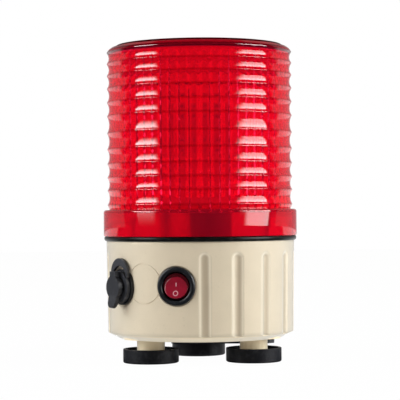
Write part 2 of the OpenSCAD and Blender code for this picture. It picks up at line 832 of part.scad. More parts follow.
module switch_body() {
    color(black_plastic) on_switch() difference() {
        union() {
            rotate_extrude() polygon(concat(
                [[bezel_hole_r - cut, 0], [bezel_r, 0]],
                arc([bezel_r - bezel_round, bezel_t - bezel_round], bezel_round, 0, 90, 5),
                arc([bezel_hole_r + bezel_round, bezel_t - bezel_round], bezel_round, 90, 180, 5),
                [[bezel_hole_r, cut / 2], [bezel_hole_r - cut, cut / 2]]));
            translate([0, 0, -switch_depth]) cylinder(r = switch_body_r, h = switch_depth);
            for (s = [0, 180]) rotate([0, 0, s + 90]) rotate([90, 0, 0])
                translate([0, -pad_depth - end_gap, -2]) linear_extrude(4)
                    polygon([[switch_body_r - cut, 0], [switch_body_r + 1.2, 0], [switch_body_r - cut, -5]]);
        }
        translate([0, 0, -cavity_depth]) cylinder(r = bezel_hole_r, h = cavity_depth + bezel_t + cut);
        translate([-axle_reach - end_gap, 0, pivot_z]) rotate([0, 90, 0])
            cylinder(r = pivot_r + run_fit, h = 2 * (axle_reach + end_gap));
    }
}

module rocker() {
    reach = 2 * rocker_r;
    color([0.65, 0.1, 0.15]) on_switch() translate([0, 0, pivot_z]) rotate([-rocker_tilt, 0, 0]) {
        difference() {
            sphere(r = rocker_r);
            translate([-reach, -reach, -reach - rocker_back]) cube([2 * reach, 2 * reach, reach]);
            for (s = [0, 180]) rotate([0, 0, s]) translate([0, 0, rocker_face_z - pivot_z])
                rotate([rocker_tilt, 0, 0]) translate([-reach, 0, 0]) cube([2 * reach, reach, reach]);
        }
        rotate([0, 90, 0]) translate([0, 0, -axle_reach]) cylinder(r = pivot_r, h = 2 * axle_reach);
    }
}

module switch_terminals() {
    color(brass) on_switch() for (y = [-5.5, 0, 5.5])
        translate([-2.4, y - 0.4, -switch_depth - 8]) cube([4.8, 0.8, 8]);
}

// Charging socket, its nut and its contacts
socket_nut_af = 19;
socket_nut_h = 3;
socket_wall_z = -socket_depth + 3;
pin_r = 0.8;
pin_circle_r = 2.6;

module on_socket() {
    on_wall(socket_angle, socket_seat_r, socket_z) children();
}

module socket_body() {
    color(black_plastic) on_socket() difference() {
        union() {
            cylinder(r = socket_flange_r, h = socket_flange_t);
            translate([0, 0, -socket_depth]) cylinder(r = socket_barrel_r, h = socket_depth + socket_out);
        }
        translate([0, 0, socket_wall_z]) cylinder(r = socket_bore_r, h = socket_depth + socket_out);
        for (a = [0 : 120 : 240]) rotate([0, 0, a]) translate([0, pin_circle_r, -socket_depth - cut])
            cylinder(r = pin_r, h = socket_depth);
    }
}

module socket_nut() {
    color(steel) on_socket() translate([0, 0, -pad_depth - socket_nut_h]) difference() {
        cylinder(r = socket_nut_af / sqrt(3), h = socket_nut_h, $fn = 6);
        translate([0, 0, -cut]) cylinder(r = socket_barrel_r, h = socket_nut_h + 2 * cut);
    }
}

module socket_pins() {
    color(brass) on_socket() for (a = [0 : 120 : 240])
        rotate([0, 0, a]) translate([0, pin_circle_r, -socket_depth - 3])
            cylinder(r = pin_r, h = socket_depth + 1);
}

// Dust cap: its ring with the loop stays on the socket, the cap swings on a hinge above the barrel
ring_z = socket_flange_t;
cap_z = socket_out + seat_fit;
hinge_z = (ring_z + ring_t + cap_z + cap_t / 2) / 2;
hinge_gap = 0.3;
stem_r = socket_bore_r - 0.5;
stem_len = 2.6;
tab_lean = 12;
loop_t = 1.8;
loop_hole_r = 7.4;

module cap_ring() {
    loop_hole_y = loop_rise - loop_w - loop_hole_r;
    color(black_rubber) on_socket() {
        translate([0, 0, ring_z]) tube(ring_r, socket_barrel_r, ring_t);
        translate([0, 0, ring_z]) difference() {
            translate([0, loop_rise - loop_r, 0]) cylinder(r = loop_r, h = loop_t);
            translate([0, loop_hole_y, -cut]) cylinder(r = loop_hole_r, h = loop_t + 2 * cut);
            translate([0, 0, -cut]) cylinder(r = ring_r - 0.5, h = loop_t + 2 * cut);
        }
        difference() {
            translate([-hinge_w / 2, socket_barrel_r, ring_z + ring_t - 0.5])
                cube([hinge_w, hinge_rise - socket_barrel_r + hinge_gap, hinge_z - ring_z - ring_t + 0.5]);
            translate([-hinge_w, hinge_rise, hinge_z]) rotate([0, 90, 0])
                cylinder(r = knuckle_r + hinge_gap, h = 2 * hinge_w);
        }
    }
}

module dust_cap() {
    color(black_rubber) on_socket() {
        translate([0, 0, cap_z]) cylinder(r = cap_r, h = cap_t);
        translate([0, 0, cap_z - stem_len]) cylinder(r = stem_r, h = stem_len + cut);
        translate([-hinge_w / 2, hinge_rise, hinge_z]) rotate([0, 90, 0])
            cylinder(r = knuckle_r, h = hinge_w);
        translate([-hinge_w / 2, cap_r - 2, cap_z])
            cube([hinge_w, hinge_rise + knuckle_r - cap_r + 2, cap_t]);
        translate([-hinge_w / 2, hinge_rise, hinge_z])
            cube([hinge_w, knuckle_r, cap_z - hinge_z + cut]);
        translate([0, 2 - cap_r, cap_z + cap_t / 2]) rotate([180 - tab_lean, 0, 0])
            translate([0, 0, -cap_t / 2]) linear_extrude(cap_t) {
                translate([-tab_w / 2, 0]) square([tab_w, tab_len - 2]);
                translate([0, tab_len - 2]) circle(r = tab_w / 2);
            }
    }
}

// Battery: four cells in a tray, closed from below by a cover
cover_head_r = 2.2;
cover_head_h = 1.4;
cover_sink = 1.6;

module battery_tray() {
    color(black_plastic) translate([battery_at.x, battery_at.y, base_lift]) difference() {
        translate([-tray_len / 2, -tray_w / 2, 0]) cube([tray_len, tray_w, tray_h]);
        translate([-cell_len / 2, -cell_pitch, tray_wall]) cube([cell_len, 2 * cell_pitch, tray_h]);
    }
}

module battery_cells() {
    tip_r = 2.7;
    tip_h = 1;
    low_z = base_lift + tray_wall + cell_pitch / 2;
    color([0.2, 0.35, 0.6]) for (y = [-0.5, 0.5])
        for (k = [0, 1])
            translate([battery_at.x, battery_at.y + y * cell_pitch, low_z + k * cell_pitch])
                rotate([0, 90, k == 0 ? 0 : 180]) {
                    translate([0, 0, -cell_len / 2]) cylinder(r = cell_r, h = cell_len - tip_h);
                    translate([0, 0, cell_len / 2 - tip_h]) cylinder(r = tip_r, h = tip_h);
                }
}

module battery_cover() {
    color(black_plastic) difference() {
        translate([battery_at.x, battery_at.y, base_lift - cover_t])
            rounded_plate(cover_len, cover_w, cover_corner_r, cover_t);
        cover_screw_places() translate([0, 0, base_lift - cover_t - cut])
            cylinder(r = cover_screw_r + seat_fit, h = cover_t + 2 * cut);
        cover_screw_places() translate([0, 0, base_lift - cover_t - cut])
            cylinder(r = cover_head_r + seat_fit, h = cover_sink + cut);
    }
}

module cover_screws() {
    hold = cover_t - cover_sink + floor_t + cover_boss_h - 2 * screw_slack - 0.4;
    color(steel) cover_screw_places() translate([0, 0, base_lift - cover_t + cover_sink]) mirror([0, 0, 1])
        pan_screw(cover_screw_r - run_fit, hold, cover_head_r, cover_head_h);
}

// Charging board on its posts
module charge_board() {
    color([0.1, 0.4, 0.2]) difference() {
        translate([board_x - board_w / 2, -board_len / 2, board_z]) cube([board_w, board_len, board_t]);
        board_corners() translate([0, 0, board_z - cut])
            cylinder(r = board_screw_r + seat_fit, h = board_t + 2 * cut);
    }
}

capacitor_r = 4;
capacitor_h = 11;
coil_r = 5;
coil_h = 6;
chip = [8, 5, 1.6];
regulator = [5, 5, 2];
board_head_r = 1.9;
board_head_h = 1.4;
board_screw_hold = 4;

module board_parts() {
    top = board_z + board_t;
    color([0.2, 0.2, 0.22]) {
        difference() {
            translate([terminal_x - terminal_w / 2, -terminal_len / 2, top])
                cube([terminal_w, terminal_len, terminal_h]);
            for (y = [-1, 1])
                translate([terminal_x + terminal_w / 2 - wire_entry, y * terminal_len / 4, top + 3])
                    rotate([0, 90, 0]) cylinder(r = 1.2, h = wire_entry + cut);
        }
        translate([board_x - 4, -8, top]) cylinder(r = capacitor_r, h = capacitor_h);
        translate([board_x - 4, 9, top]) cylinder(r = coil_r, h = coil_h);
        translate([board_x - 9, -1.5, top]) cube(chip);
        translate([board_x + 1, 13, top]) cube(regulator);
    }
}

module board_screws() {
    color(steel) board_corners() translate([0, 0, board_z + board_t])
        pan_screw(board_screw_r - run_fit, board_t + board_screw_hold, board_head_r, board_head_h);
}

// Magnet feet
pot_r = foot_r - boot_wall;
pot_h = foot_h - foot_recess - boot_floor;
magnet_gap = 0.4;
magnet_r = pot_r - pot_t - magnet_gap;
magnet_hole_r = 4.4;
magnet_h = pot_h - pot_t;
foot_head_r = 3.8;
boot_round = 1;
boot_rim_round = 0.4;

module at_foot(i) {
    at_angle(foot_turn + 120 * i, foot_circle_r) children();
}

module foot_boot(i) {
    color(black_rubber) at_foot(i) difference() {
        rotate_extrude() polygon(concat(
            [[0, 0]],
            arc([foot_r - boot_round, boot_round], boot_round, -90, 0, 5),
            arc([foot_r - boot_rim_round, foot_h - boot_rim_round], boot_rim_round, 0, 90, 3),
            [[0, foot_h]]));
        translate([0, 0, boot_floor]) cylinder(r = pot_r, h = foot_h);
        translate([0, 0, -cut]) cylinder(r = magnet_hole_r, h = boot_floor + 2 * cut);
    }
}

module foot_pot(i) {
    color(steel) at_foot(i) translate([0, 0, boot_floor]) difference() {
        cylinder(r = pot_r, h = pot_h);
        translate([0, 0, -cut]) cylinder(r = pot_r - pot_t, h = magnet_h + cut);
        translate([0, 0, -cut]) cylinder(r = foot_screw_r + seat_fit, h = pot_h + 2 * cut);
    }
}

module foot_magnet(i) {
    color([0.25, 0.25, 0.27]) at_foot(i) translate([0, 0, boot_floor])
        tube(magnet_r, magnet_hole_r, magnet_h);
}

module foot_screws() {
    color(steel) foot_places() translate([0, 0, boot_floor + magnet_h]) mirror([0, 0, 1])
        pan_screw(foot_screw_r - run_fit, pot_t + foot_pilot_depth - screw_slack,
            foot_head_r, magnet_h - magnet_gap);
}

// Gears with involute teeth
pressure_angle = 20;
addendum = 0.8;
dedendum = 1.2;
tooth_slack = 0.08;
function involute(r, base_r) =
    let (t = sqrt(max(0, (r / base_r) * (r / base_r) - 1))) t * 180 / PI - atan(t);

// Half of a tooth's angle at radius r
function tooth_half(r, teeth) =
    let (pitch_r = gear_module * teeth / 2, base_r = pitch_r * cos(pressure_angle))
    90 / teeth - tooth_slack / pitch_r * 180 / PI
        + involute(pitch_r, base_r) - involute(max(r, base_r), base_r);

function gear_outline(teeth) =
    let (pitch_r = gear_module * teeth / 2,
         base_r = pitch_r * cos(pressure_angle),
         root_r = pitch_r - dedendum * gear_module,
         tip_r = pitch_r + addendum * gear_module,
         low_r = max(base_r, root_r),
         radii = [root_r, low_r + 0.1, (low_r + tip_r) / 2, tip_r])
    [for (k = [0 : teeth - 1], i = [0 : 7])
        let (side = i < 4 ? -1 : 1,
             r = radii[i < 4 ? i : 7 - i],
             a = 360 * k / teeth + side * tooth_half(r, teeth))
        r * [cos(a), sin(a)]];

gear_hub_r = 12;
gear_hub_h = 2;
bush_r = 7.6;
bush_flange_r = 9.6;
web_hole_r = 6.5;
web_holes_at = 22;
bracket_y = -focus - mirror_t - 2.1;
bracket_foot = 12;
foot_screw_y = bracket_y - bracket_t - 6;

module drive_gear() {
    color([0.92, 0.92, 0.9]) difference() {
        union() {
            translate([0, 0, gear_z]) rotate([0, 0, motor_angle]) linear_extrude(gear_w)
                polygon(gear_outline(gear_teeth));
            translate([0, 0, gear_z]) cylinder(r = gear_hub_r, h = gear_w + gear_hub_h);
        }
        translate([0, 0, gear_z - cut]) cylinder(r = bush_r, h = gear_w + gear_hub_h + 2 * cut);
        for (a = [-18 : 72 : 198]) rotate([0, 0, a]) translate([web_holes_at, 0, gear_z - cut])
            cylinder(r = web_hole_r, h = gear_w + 2 * cut);
        for (x = [-1, 1]) translate([x * bracket_w / 4, foot_screw_y, gear_z - cut])
            cylinder(r = motor_screw_r, h = gear_w + 2 * cut);
    }
}

module gear_bush() {
    color(brass) translate([0, 0, bush_z]) difference() {
        union() {
            cylinder(r = bush_flange_r, h = gear_z - bush_z);
            cylinder(r = bush_r, h = bush_top - bush_z);
        }
        translate([0, 0, -cut]) cylinder(r = post_r + run_fit, h = bush_top - bush_z + 2 * cut);
    }
}

// Reflector: a paraboloid of revolution about Y, open towards +Y, trimmed to a rounded sheet
mirror_z0 = lamp_z - mirror_down;
mirror_z1 = lamp_z + mirror_up;
mirror_corner_r = 8;
mirror_clear_r = holder_r + 2.5;
mirror_steps = 14;
bowl_deep = 60;
function bowl_depth(r) = r * r / (4 * focus);
mirror_pad_z0 = lamp_z - mirror_pad_down;
mirror_pad_z1 = lamp_z + mirror_pad_up;
mirror_screw_in = 6;
mirror_screw_zs = [mirror_pad_z0 + mirror_screw_in, mirror_pad_z1 - mirror_screw_in];
mirror_screw_hold = 1.6;
mirror_head_r = 2.4;
mirror_head_h = 1.5;

module bowl(outset) {
    rim_r = 50;
    translate([0, -focus - outset, lamp_z]) rotate([-90, 0, 0]) rotate_extrude() polygon(concat(
        [for (i = [0 : mirror_steps]) let (r = rim_r * i / mirror_steps) [r, bowl_depth(r)]],
        [[rim_r, bowl_deep], [0, bowl_deep]]));
}

module reflector() {
    height = mirror_z1 - mirror_z0;
    color([0.86, 0.87, 0.9]) difference() {
        union() {
            intersection() {
                bowl(mirror_t);
                translate([0, bowl_deep / 2, (mirror_z0 + mirror_z1) / 2]) rotate([90, 0, 0])
                    rounded_plate(mirror_w, height, mirror_corner_r, 2 * bowl_deep);
            }
            translate([-bracket_w / 2, bracket_y, mirror_pad_z0])
                cube([bracket_w, focus, mirror_pad_z1 - mirror_pad_z0]);
        }
        bowl(0);
        translate([0, 0, mirror_z0 - cut])
            cylinder(r = mirror_clear_r, h = holder_top + 4 - mirror_z0 + cut);
        for (z = mirror_screw_zs) translate([0, bracket_y - cut, z]) rotate([-90, 0, 0])
            cylinder(r = motor_screw_r, h = mirror_screw_hold + 0.4 + cut);
    }
}

module reflector_bracket() {
    color(steel) difference() {
        union() {
            translate([-bracket_w / 2, bracket_y - bracket_t, gear_top])
                cube([bracket_w, bracket_t, mirror_pad_z1 - gear_top]);
            translate([-bracket_w / 2, bracket_y - bracket_foot, gear_top])
                cube([bracket_w, bracket_foot, bracket_t]);
        }
        for (z = mirror_screw_zs) translate([0, bracket_y - bracket_t - cut, z]) rotate([-90, 0, 0])
            cylinder(r = motor_screw_r + seat_fit, h = bracket_t + 2 * cut);
        for (x = [-1, 1]) translate([x * bracket_w / 4, foot_screw_y, gear_top - cut])
            cylinder(r = motor_screw_r + seat_fit, h = bracket_t + 2 * cut);
    }
}

module reflector_screws() {
    color(steel) {
        for (z = mirror_screw_zs) translate([0, bracket_y - bracket_t, z]) rotate([90, 0, 0])
            pan_screw(motor_screw_r - run_fit, bracket_t + mirror_screw_hold, mirror_head_r, mirror_head_h);
        for (x = [-1, 1]) translate([x * bracket_w / 4, foot_screw_y, gear_top + bracket_t])
            pan_screw(motor_screw_r - run_fit, bracket_t + gear_w - screw_slack, mirror_head_r, mirror_head_h);
    }
}

// Motor's shaft and pinion
pinion_over = 0.4;

module motor_shaft() {
    shaft_foot = motor_bottom + motor_floor + end_gap;
    color(steel) at_motor() translate([0, 0, shaft_foot]) cylinder(r = shaft_r, h = shaft_top - shaft_foot);
}

module pinion() {
    color(brass) at_motor() translate([0, 0, gear_z - pinion_over])
        rotate([0, 0, 180 + 180 / pinion_teeth]) difference() {
            linear_extrude(gear_w + 2 * pinion_over) polygon(gear_outline(pinion_teeth));
            translate([0, 0, -cut]) cylinder(r = shaft_r, h = gear_w + 4 * cut);
        }
}

// Lens: a skirt, a barrel of ridges and hollow bands, a round shoulder and a raised crown
skirt_edge = 0.4;
band_steps = 6;
band_power = 2.2;
function band_r(t) = ridge_r - band_depth * (1 - pow(abs(2 * t - 1), band_power));
lens_inner_outline = [
    for (k = [0 : flute_count - 1], i = [0 : 3])
        let (a = 360 * (k + i / 4) / flute_count, r = lens_in_r - flute_depth * (1 - cos(90 * i)) / 2)
        r * [cos(a), sin(a)]];

module lens_outside() {
    rotate_extrude() polygon(concat(
        [[0, lens_z], [skirt_r - skirt_edge, lens_z], [skirt_r, lens_z + skirt_edge]],
        arc([skirt_r - skirt_fillet, skirt_top_z - skirt_fillet], skirt_fillet, 0, 90, 5),
        [[ridge_r - band_depth, skirt_top_z]],
        [for (k = [0 : len(band_heights) - 1], i = [0 : band_steps - 1])
            [band_r(i / band_steps), ridge_z0 + sum_to(band_heights, k) + band_heights[k] * i / band_steps]],
        arc([ridge_r - shoulder_r, shoulder_z], shoulder_r, 0, 90, 6),
        [[crown_r, shoulder_z + shoulder_r]],
        arc([crown_r - crown_h, lens_top_z - crown_h], crown_h, 0, 90, 3),
        [[0, lens_top_z]]));
}

module lens_cover() {
    inside_top = lens_top_z - lens_top_t - crown_h;
    skirt_in_r = skirt_r - skirt_wall;
    color(lens_red) {
        difference() {
            lens_outside();
            translate([0, 0, lens_z - cut]) cylinder(r = skirt_in_r, h = shelf_z - lens_z + cut);
            translate([0, 0, shelf_z - cut]) linear_extrude(inside_top - shelf_z + cut)
                polygon(lens_inner_outline);
        }
        for (a = hook_angles) translate([0, 0, lug_z])
            sector(lug_in_r, skirt_in_r + 0.5, lug_h, a - hook_arc / 2 + stop_arc + lug_play, lug_arc);
    }
}

base_housing();
seal_ring();
chassis_deck();
deck_screws();
gear_deck();
leg_screws();
lamp_post();
post_nut();
rotor_clip();
lamp_holder();
bulb_cap();
bulb_glass();
filament();
lamp_leads();
motor_can();
motor_cap();
motor_screws();
switch_body();
switch_terminals();
socket_body();
socket_nut();
socket_pins();
cap_ring();
battery_tray();
battery_cells();
battery_cover();
cover_screws();
charge_board();
board_parts();
board_screws();
foot_boot(0);  // foot_boot_rear
foot_boot(1);  // foot_boot_left
foot_boot(2);  // foot_boot_right
foot_pot(0);  // foot_pot_rear
foot_pot(1);  // foot_pot_left
foot_pot(2);  // foot_pot_right
foot_magnet(0);  // foot_magnet_rear
foot_magnet(1);  // foot_magnet_left
foot_magnet(2);  // foot_magnet_right
foot_screws();
drive_gear();
gear_bush();
reflector_bracket();
reflector();
reflector_screws();
motor_shaft();
pinion();
lens_cover();
rocker();
dust_cap();
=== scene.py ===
"""Looks of a rotating beacon light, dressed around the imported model.

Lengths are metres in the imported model's own frame: +Z up, the floor at z = 0, the lens axis on Z
and the switch towards -Y. Each sub-assembly is a class that holds its sizes, works out the
surfaces that the solids leave plain and gives every piece its finish.
"""
import logging
import math
from dataclasses import dataclass
from enum import Enum
from typing import Any, ClassVar, Mapping, Optional, Sequence, Union

import bpy
import numpy as np
from mathutils import Matrix, Vector


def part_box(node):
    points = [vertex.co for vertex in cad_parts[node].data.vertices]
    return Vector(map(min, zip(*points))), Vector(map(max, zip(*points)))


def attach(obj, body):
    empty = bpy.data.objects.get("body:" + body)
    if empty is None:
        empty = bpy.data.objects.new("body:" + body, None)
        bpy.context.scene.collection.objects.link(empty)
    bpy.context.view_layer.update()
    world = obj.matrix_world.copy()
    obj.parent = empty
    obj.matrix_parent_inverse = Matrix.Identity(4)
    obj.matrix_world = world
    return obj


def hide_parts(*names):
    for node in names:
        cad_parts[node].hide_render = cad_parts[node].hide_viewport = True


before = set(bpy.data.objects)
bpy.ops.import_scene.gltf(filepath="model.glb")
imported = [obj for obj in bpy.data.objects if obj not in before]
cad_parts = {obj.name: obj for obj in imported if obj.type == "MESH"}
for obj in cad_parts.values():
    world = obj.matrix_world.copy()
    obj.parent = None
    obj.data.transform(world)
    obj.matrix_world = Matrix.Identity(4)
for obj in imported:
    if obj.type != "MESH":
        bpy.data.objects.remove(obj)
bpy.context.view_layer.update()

LOG = logging.getLogger("beacon")
MM = 0.001

Colour = tuple[float, float, float]
Range = tuple[float, float]
Number = Union[float, "Signal"]
Settings = Optional[Mapping[str, Any]]
Inputs = Optional[Mapping[Union[int, str], Any]]


class Space(Enum):
    """What a pattern follows: a place on the object, or the direction of a ray in the world."""

    OBJECT = "Object"
    DIRECTION = "Generated"


class Signal:
    """A shader socket that adds its Math nodes when it is used in arithmetic."""

    def __init__(self, shader: "Shader", socket: bpy.types.NodeSocket) -> None:
        """Wraps one output socket of the shader's tree."""
        self.shader = shader
        self.socket = socket

    def _math(self, operation: str, first: Number, second: Number = 0.0) -> "Signal":
        """Adds one Math node and gives its result; some operations need the first value only."""
        return self.shader.value("ShaderNodeMath", {"operation": operation}, {0: first, 1: second})

    def __add__(self, other: Number) -> "Signal":
        """self + other"""
        return self._math("ADD", self, other)

    def __radd__(self, other: Number) -> "Signal":
        """other + self"""
        return self._math("ADD", other, self)

    def __sub__(self, other: Number) -> "Signal":
        """self - other"""
        return self._math("SUBTRACT", self, other)

    def __rsub__(self, other: Number) -> "Signal":
        """other - self"""
        return self._math("SUBTRACT", other, self)

    def __mul__(self, other: Number) -> "Signal":
        """self * other"""
        return self._math("MULTIPLY", self, other)

    def __rmul__(self, other: Number) -> "Signal":
        """other * self"""
        return self._math("MULTIPLY", other, self)

    def __truediv__(self, other: Number) -> "Signal":
        """self / other"""
        return self._math("DIVIDE", self, other)

    def __abs__(self) -> "Signal":
        """abs(self)"""
        return self._math("ABSOLUTE", self)

    def smaller(self, other: Number) -> "Signal":
        """The lesser of self and other."""
        return self._math("MINIMUM", self, other)

    def larger(self, other: Number) -> "Signal":
        """The greater of self and other."""
        return self._math("MAXIMUM", self, other)

    def root(self) -> "Signal":
        """Square root of self."""
        return self._math("SQRT", self)

    def bearing(self, across: "Signal") -> "Signal":
        """Angle whose tangent is self / across, in radians."""
        return self._math("ARCTAN2", self, across)

    def zigzag(self, reach: float) -> "Signal":
        """Distance to the nearest whole multiple of twice the reach."""
        return self._math("PINGPONG", self, reach)

    def ramp(self, low: float, high: float) -> "Signal":
        """Runs smoothly from 0 at low to 1 at high.

        Args:
            low: Value that gives 0.
            high: Value that gives 1; it may be the lesser one.

        Returns:
            The eased value.
        """
        start, end = (0.0, 1.0) if low < high else (1.0, 0.0)
        return self.shader.value("ShaderNodeMapRange", {"interpolation_type": "SMOOTHSTEP"}, {
            0: self, 1: min(low, high), 2: max(low, high), 3: start, 4: end})


class Shader:
    """Node tree of a finish, the world or a lamp, with one method that adds any node."""

    def __init__(self, tree: bpy.types.NodeTree) -> None:
        """Empties the tree and keeps it."""
        tree.nodes.clear()
        self.tree = tree

    def node(self, kind: str, settings: Settings = None, sockets: Inputs = None) -> bpy.types.Node:
        """Adds one node.

        Args:
            kind: The node's type.
            settings: Its properties, set first, as its sockets change with them.
            sockets: Values or signals for its inputs, by name or number.

        Returns:
            The node.
        """
        made = self.tree.nodes.new(kind)
        for key, value in (settings or {}).items():
            setattr(made, key, value)
        for key, value in (sockets or {}).items():
            target = made.inputs[key]
            if isinstance(value, Signal):
                self.tree.links.new(value.socket, target)
            elif target.type == "RGBA":
                target.default_value = (*value, 1.0)
            else:
                target.default_value = value
        return made

    def value(self, kind: str, settings: Settings = None, sockets: Inputs = None,
              output: Union[int, str] = 0) -> Signal:
        """Adds one node and gives one of its outputs.

        Args:
            kind: The node's type.
            settings: Its properties.
            sockets: Its inputs.
            output: Name or number of the output.

        Returns:
            The output as a signal.
        """
        return Signal(self, self.node(kind, settings, sockets).outputs[output])

    def place(self, space: Space = Space.OBJECT) -> Signal:
        """Position that patterns follow."""
        return self.value("ShaderNodeTexCoord", output=space.value)

    def axes(self, place: Signal) -> tuple[Signal, Signal, Signal]:
        """The x, y and z of a position."""
        x, y, z = self.node("ShaderNodeSeparateXYZ", None, {0: place}).outputs
        return Signal(self, x), Signal(self, y), Signal(self, z)

    def rays(self, *kinds: str) -> list[Signal]:
        """One signal for each kind of ray, which is 1 where a ray is of that kind."""
        path = self.node("ShaderNodeLightPath")
        return [Signal(self, path.outputs[f"Is {kind} Ray"]) for kind in kinds]

    def noise(self, place: Signal, size: float, detail: float = 2.0, flat: float = 1.0) -> Signal:
        """Soft noise from 0 to 1.

        Args:
            place: Position that it follows.
            size: Height of a blotch in metres.
            detail: Number of finer layers.
            flat: Width of a blotch along x and y, as a share of its height.

        Returns:
            The noise.
        """
        scale = (1.0 / flat, 1.0 / flat, 1.0)
        spot = self.value("ShaderNodeVectorMath", {"operation": "MULTIPLY"}, {0: place, 1: scale})
        return self.value("ShaderNodeTexNoise", None, {
            "Vector": spot, "Scale": 1.0 / size, "Detail": detail})

    def blend(self, factor: Number, first: Any, second: Any) -> Signal:
        """Colour that runs from first to second as factor goes from 0 to 1."""
        settings = {"data_type": "RGBA", "clamp_factor": True}
        return self.value("ShaderNodeMix", settings, {0: factor, 6: first, 7: second}, 2)

    def bump(self, height: Signal, depth: float) -> Signal:
        """Normal of a surface that rises by height times depth, in metres."""
        return self.value("ShaderNodeBump", None, {
            "Height": height, "Distance": depth, "Strength": 1.0})

    def mixed(self, factor: Signal, first: Signal, second: Signal) -> Signal:
        """Shader that goes from first to second as factor goes from 0 to 1."""
        return self.value("ShaderNodeMixShader", None, {0: factor, 1: first, 2: second})


@dataclass(frozen=True)
class Finish:
    """A moulded or painted finish: its colour and gloss, a faint mottle and a fine grain.

    The mottle takes the colour down and up by its share, and gloss_play is the share by which the
    roughness goes with it. A range holds the noise levels at which a pattern starts and is full.
    """

    name: str
    colour: Colour
    roughness: float = 0.4
    metallic: float = 0.0
    coat: float = 0.0
    coat_roughness: float = 0.08
    specular: float = 0.5
    sheen: float = 0.0
    sheen_roughness: float = 0.55
    mottle: float = 0.05
    mottle_size: float = 0.012
    mottle_range: Range = (0.3, 0.7)
    gloss_play: float = 0.3
    grain_size: float = 0.0008
    grain_depth: float = 0.00001

    def material(self) -> bpy.types.Material:
        """Makes the finish's material when it is first asked for.

        Returns:
            The material, the same one each time.
        """
        label = f"{self.name}_finish"
        made = bpy.data.materials.get(label)
        if made is None:
            made = bpy.data.materials.new(label)
            made.use_nodes = True
            shader = Shader(made.node_tree)
            shader.node("ShaderNodeOutputMaterial", None, {"Surface": self.surface(shader)})
        return made

    def surface(self, shader: Shader) -> Signal:
        """The finish's surface shader."""
        return shader.value("ShaderNodeBsdfPrincipled", None, self.sockets(shader))

    def sockets(self, shader: Shader) -> dict[str, Any]:
        """Inputs of the Principled shader.

        Args:
            shader: Tree that the patterns' nodes go to.

        Returns:
            Values and signals by the socket's name.
        """
        place = shader.place()
        cloud = shader.noise(place, self.mottle_size, detail=3.0)
        grain = shader.noise(place, self.grain_size)
        dark = tuple(c * (1.0 - self.mottle) for c in self.colour)
        light = tuple(min(1.0, c * (1.0 + self.mottle)) for c in self.colour)
        return {
            "Base Color": shader.blend(cloud.ramp(*self.mottle_range), dark, light),
            "Roughness": self.roughness + (cloud - 0.5) * (self.gloss_play * self.roughness),
            "Metallic": self.metallic,
            "Coat Weight": self.coat,
            "Coat Roughness": self.coat_roughness,
            "Specular IOR Level": self.specular,
            "Sheen Weight": self.sheen,
            "Sheen Roughness": self.sheen_roughness,
            "Normal": shader.bump(grain, self.grain_depth),
        }


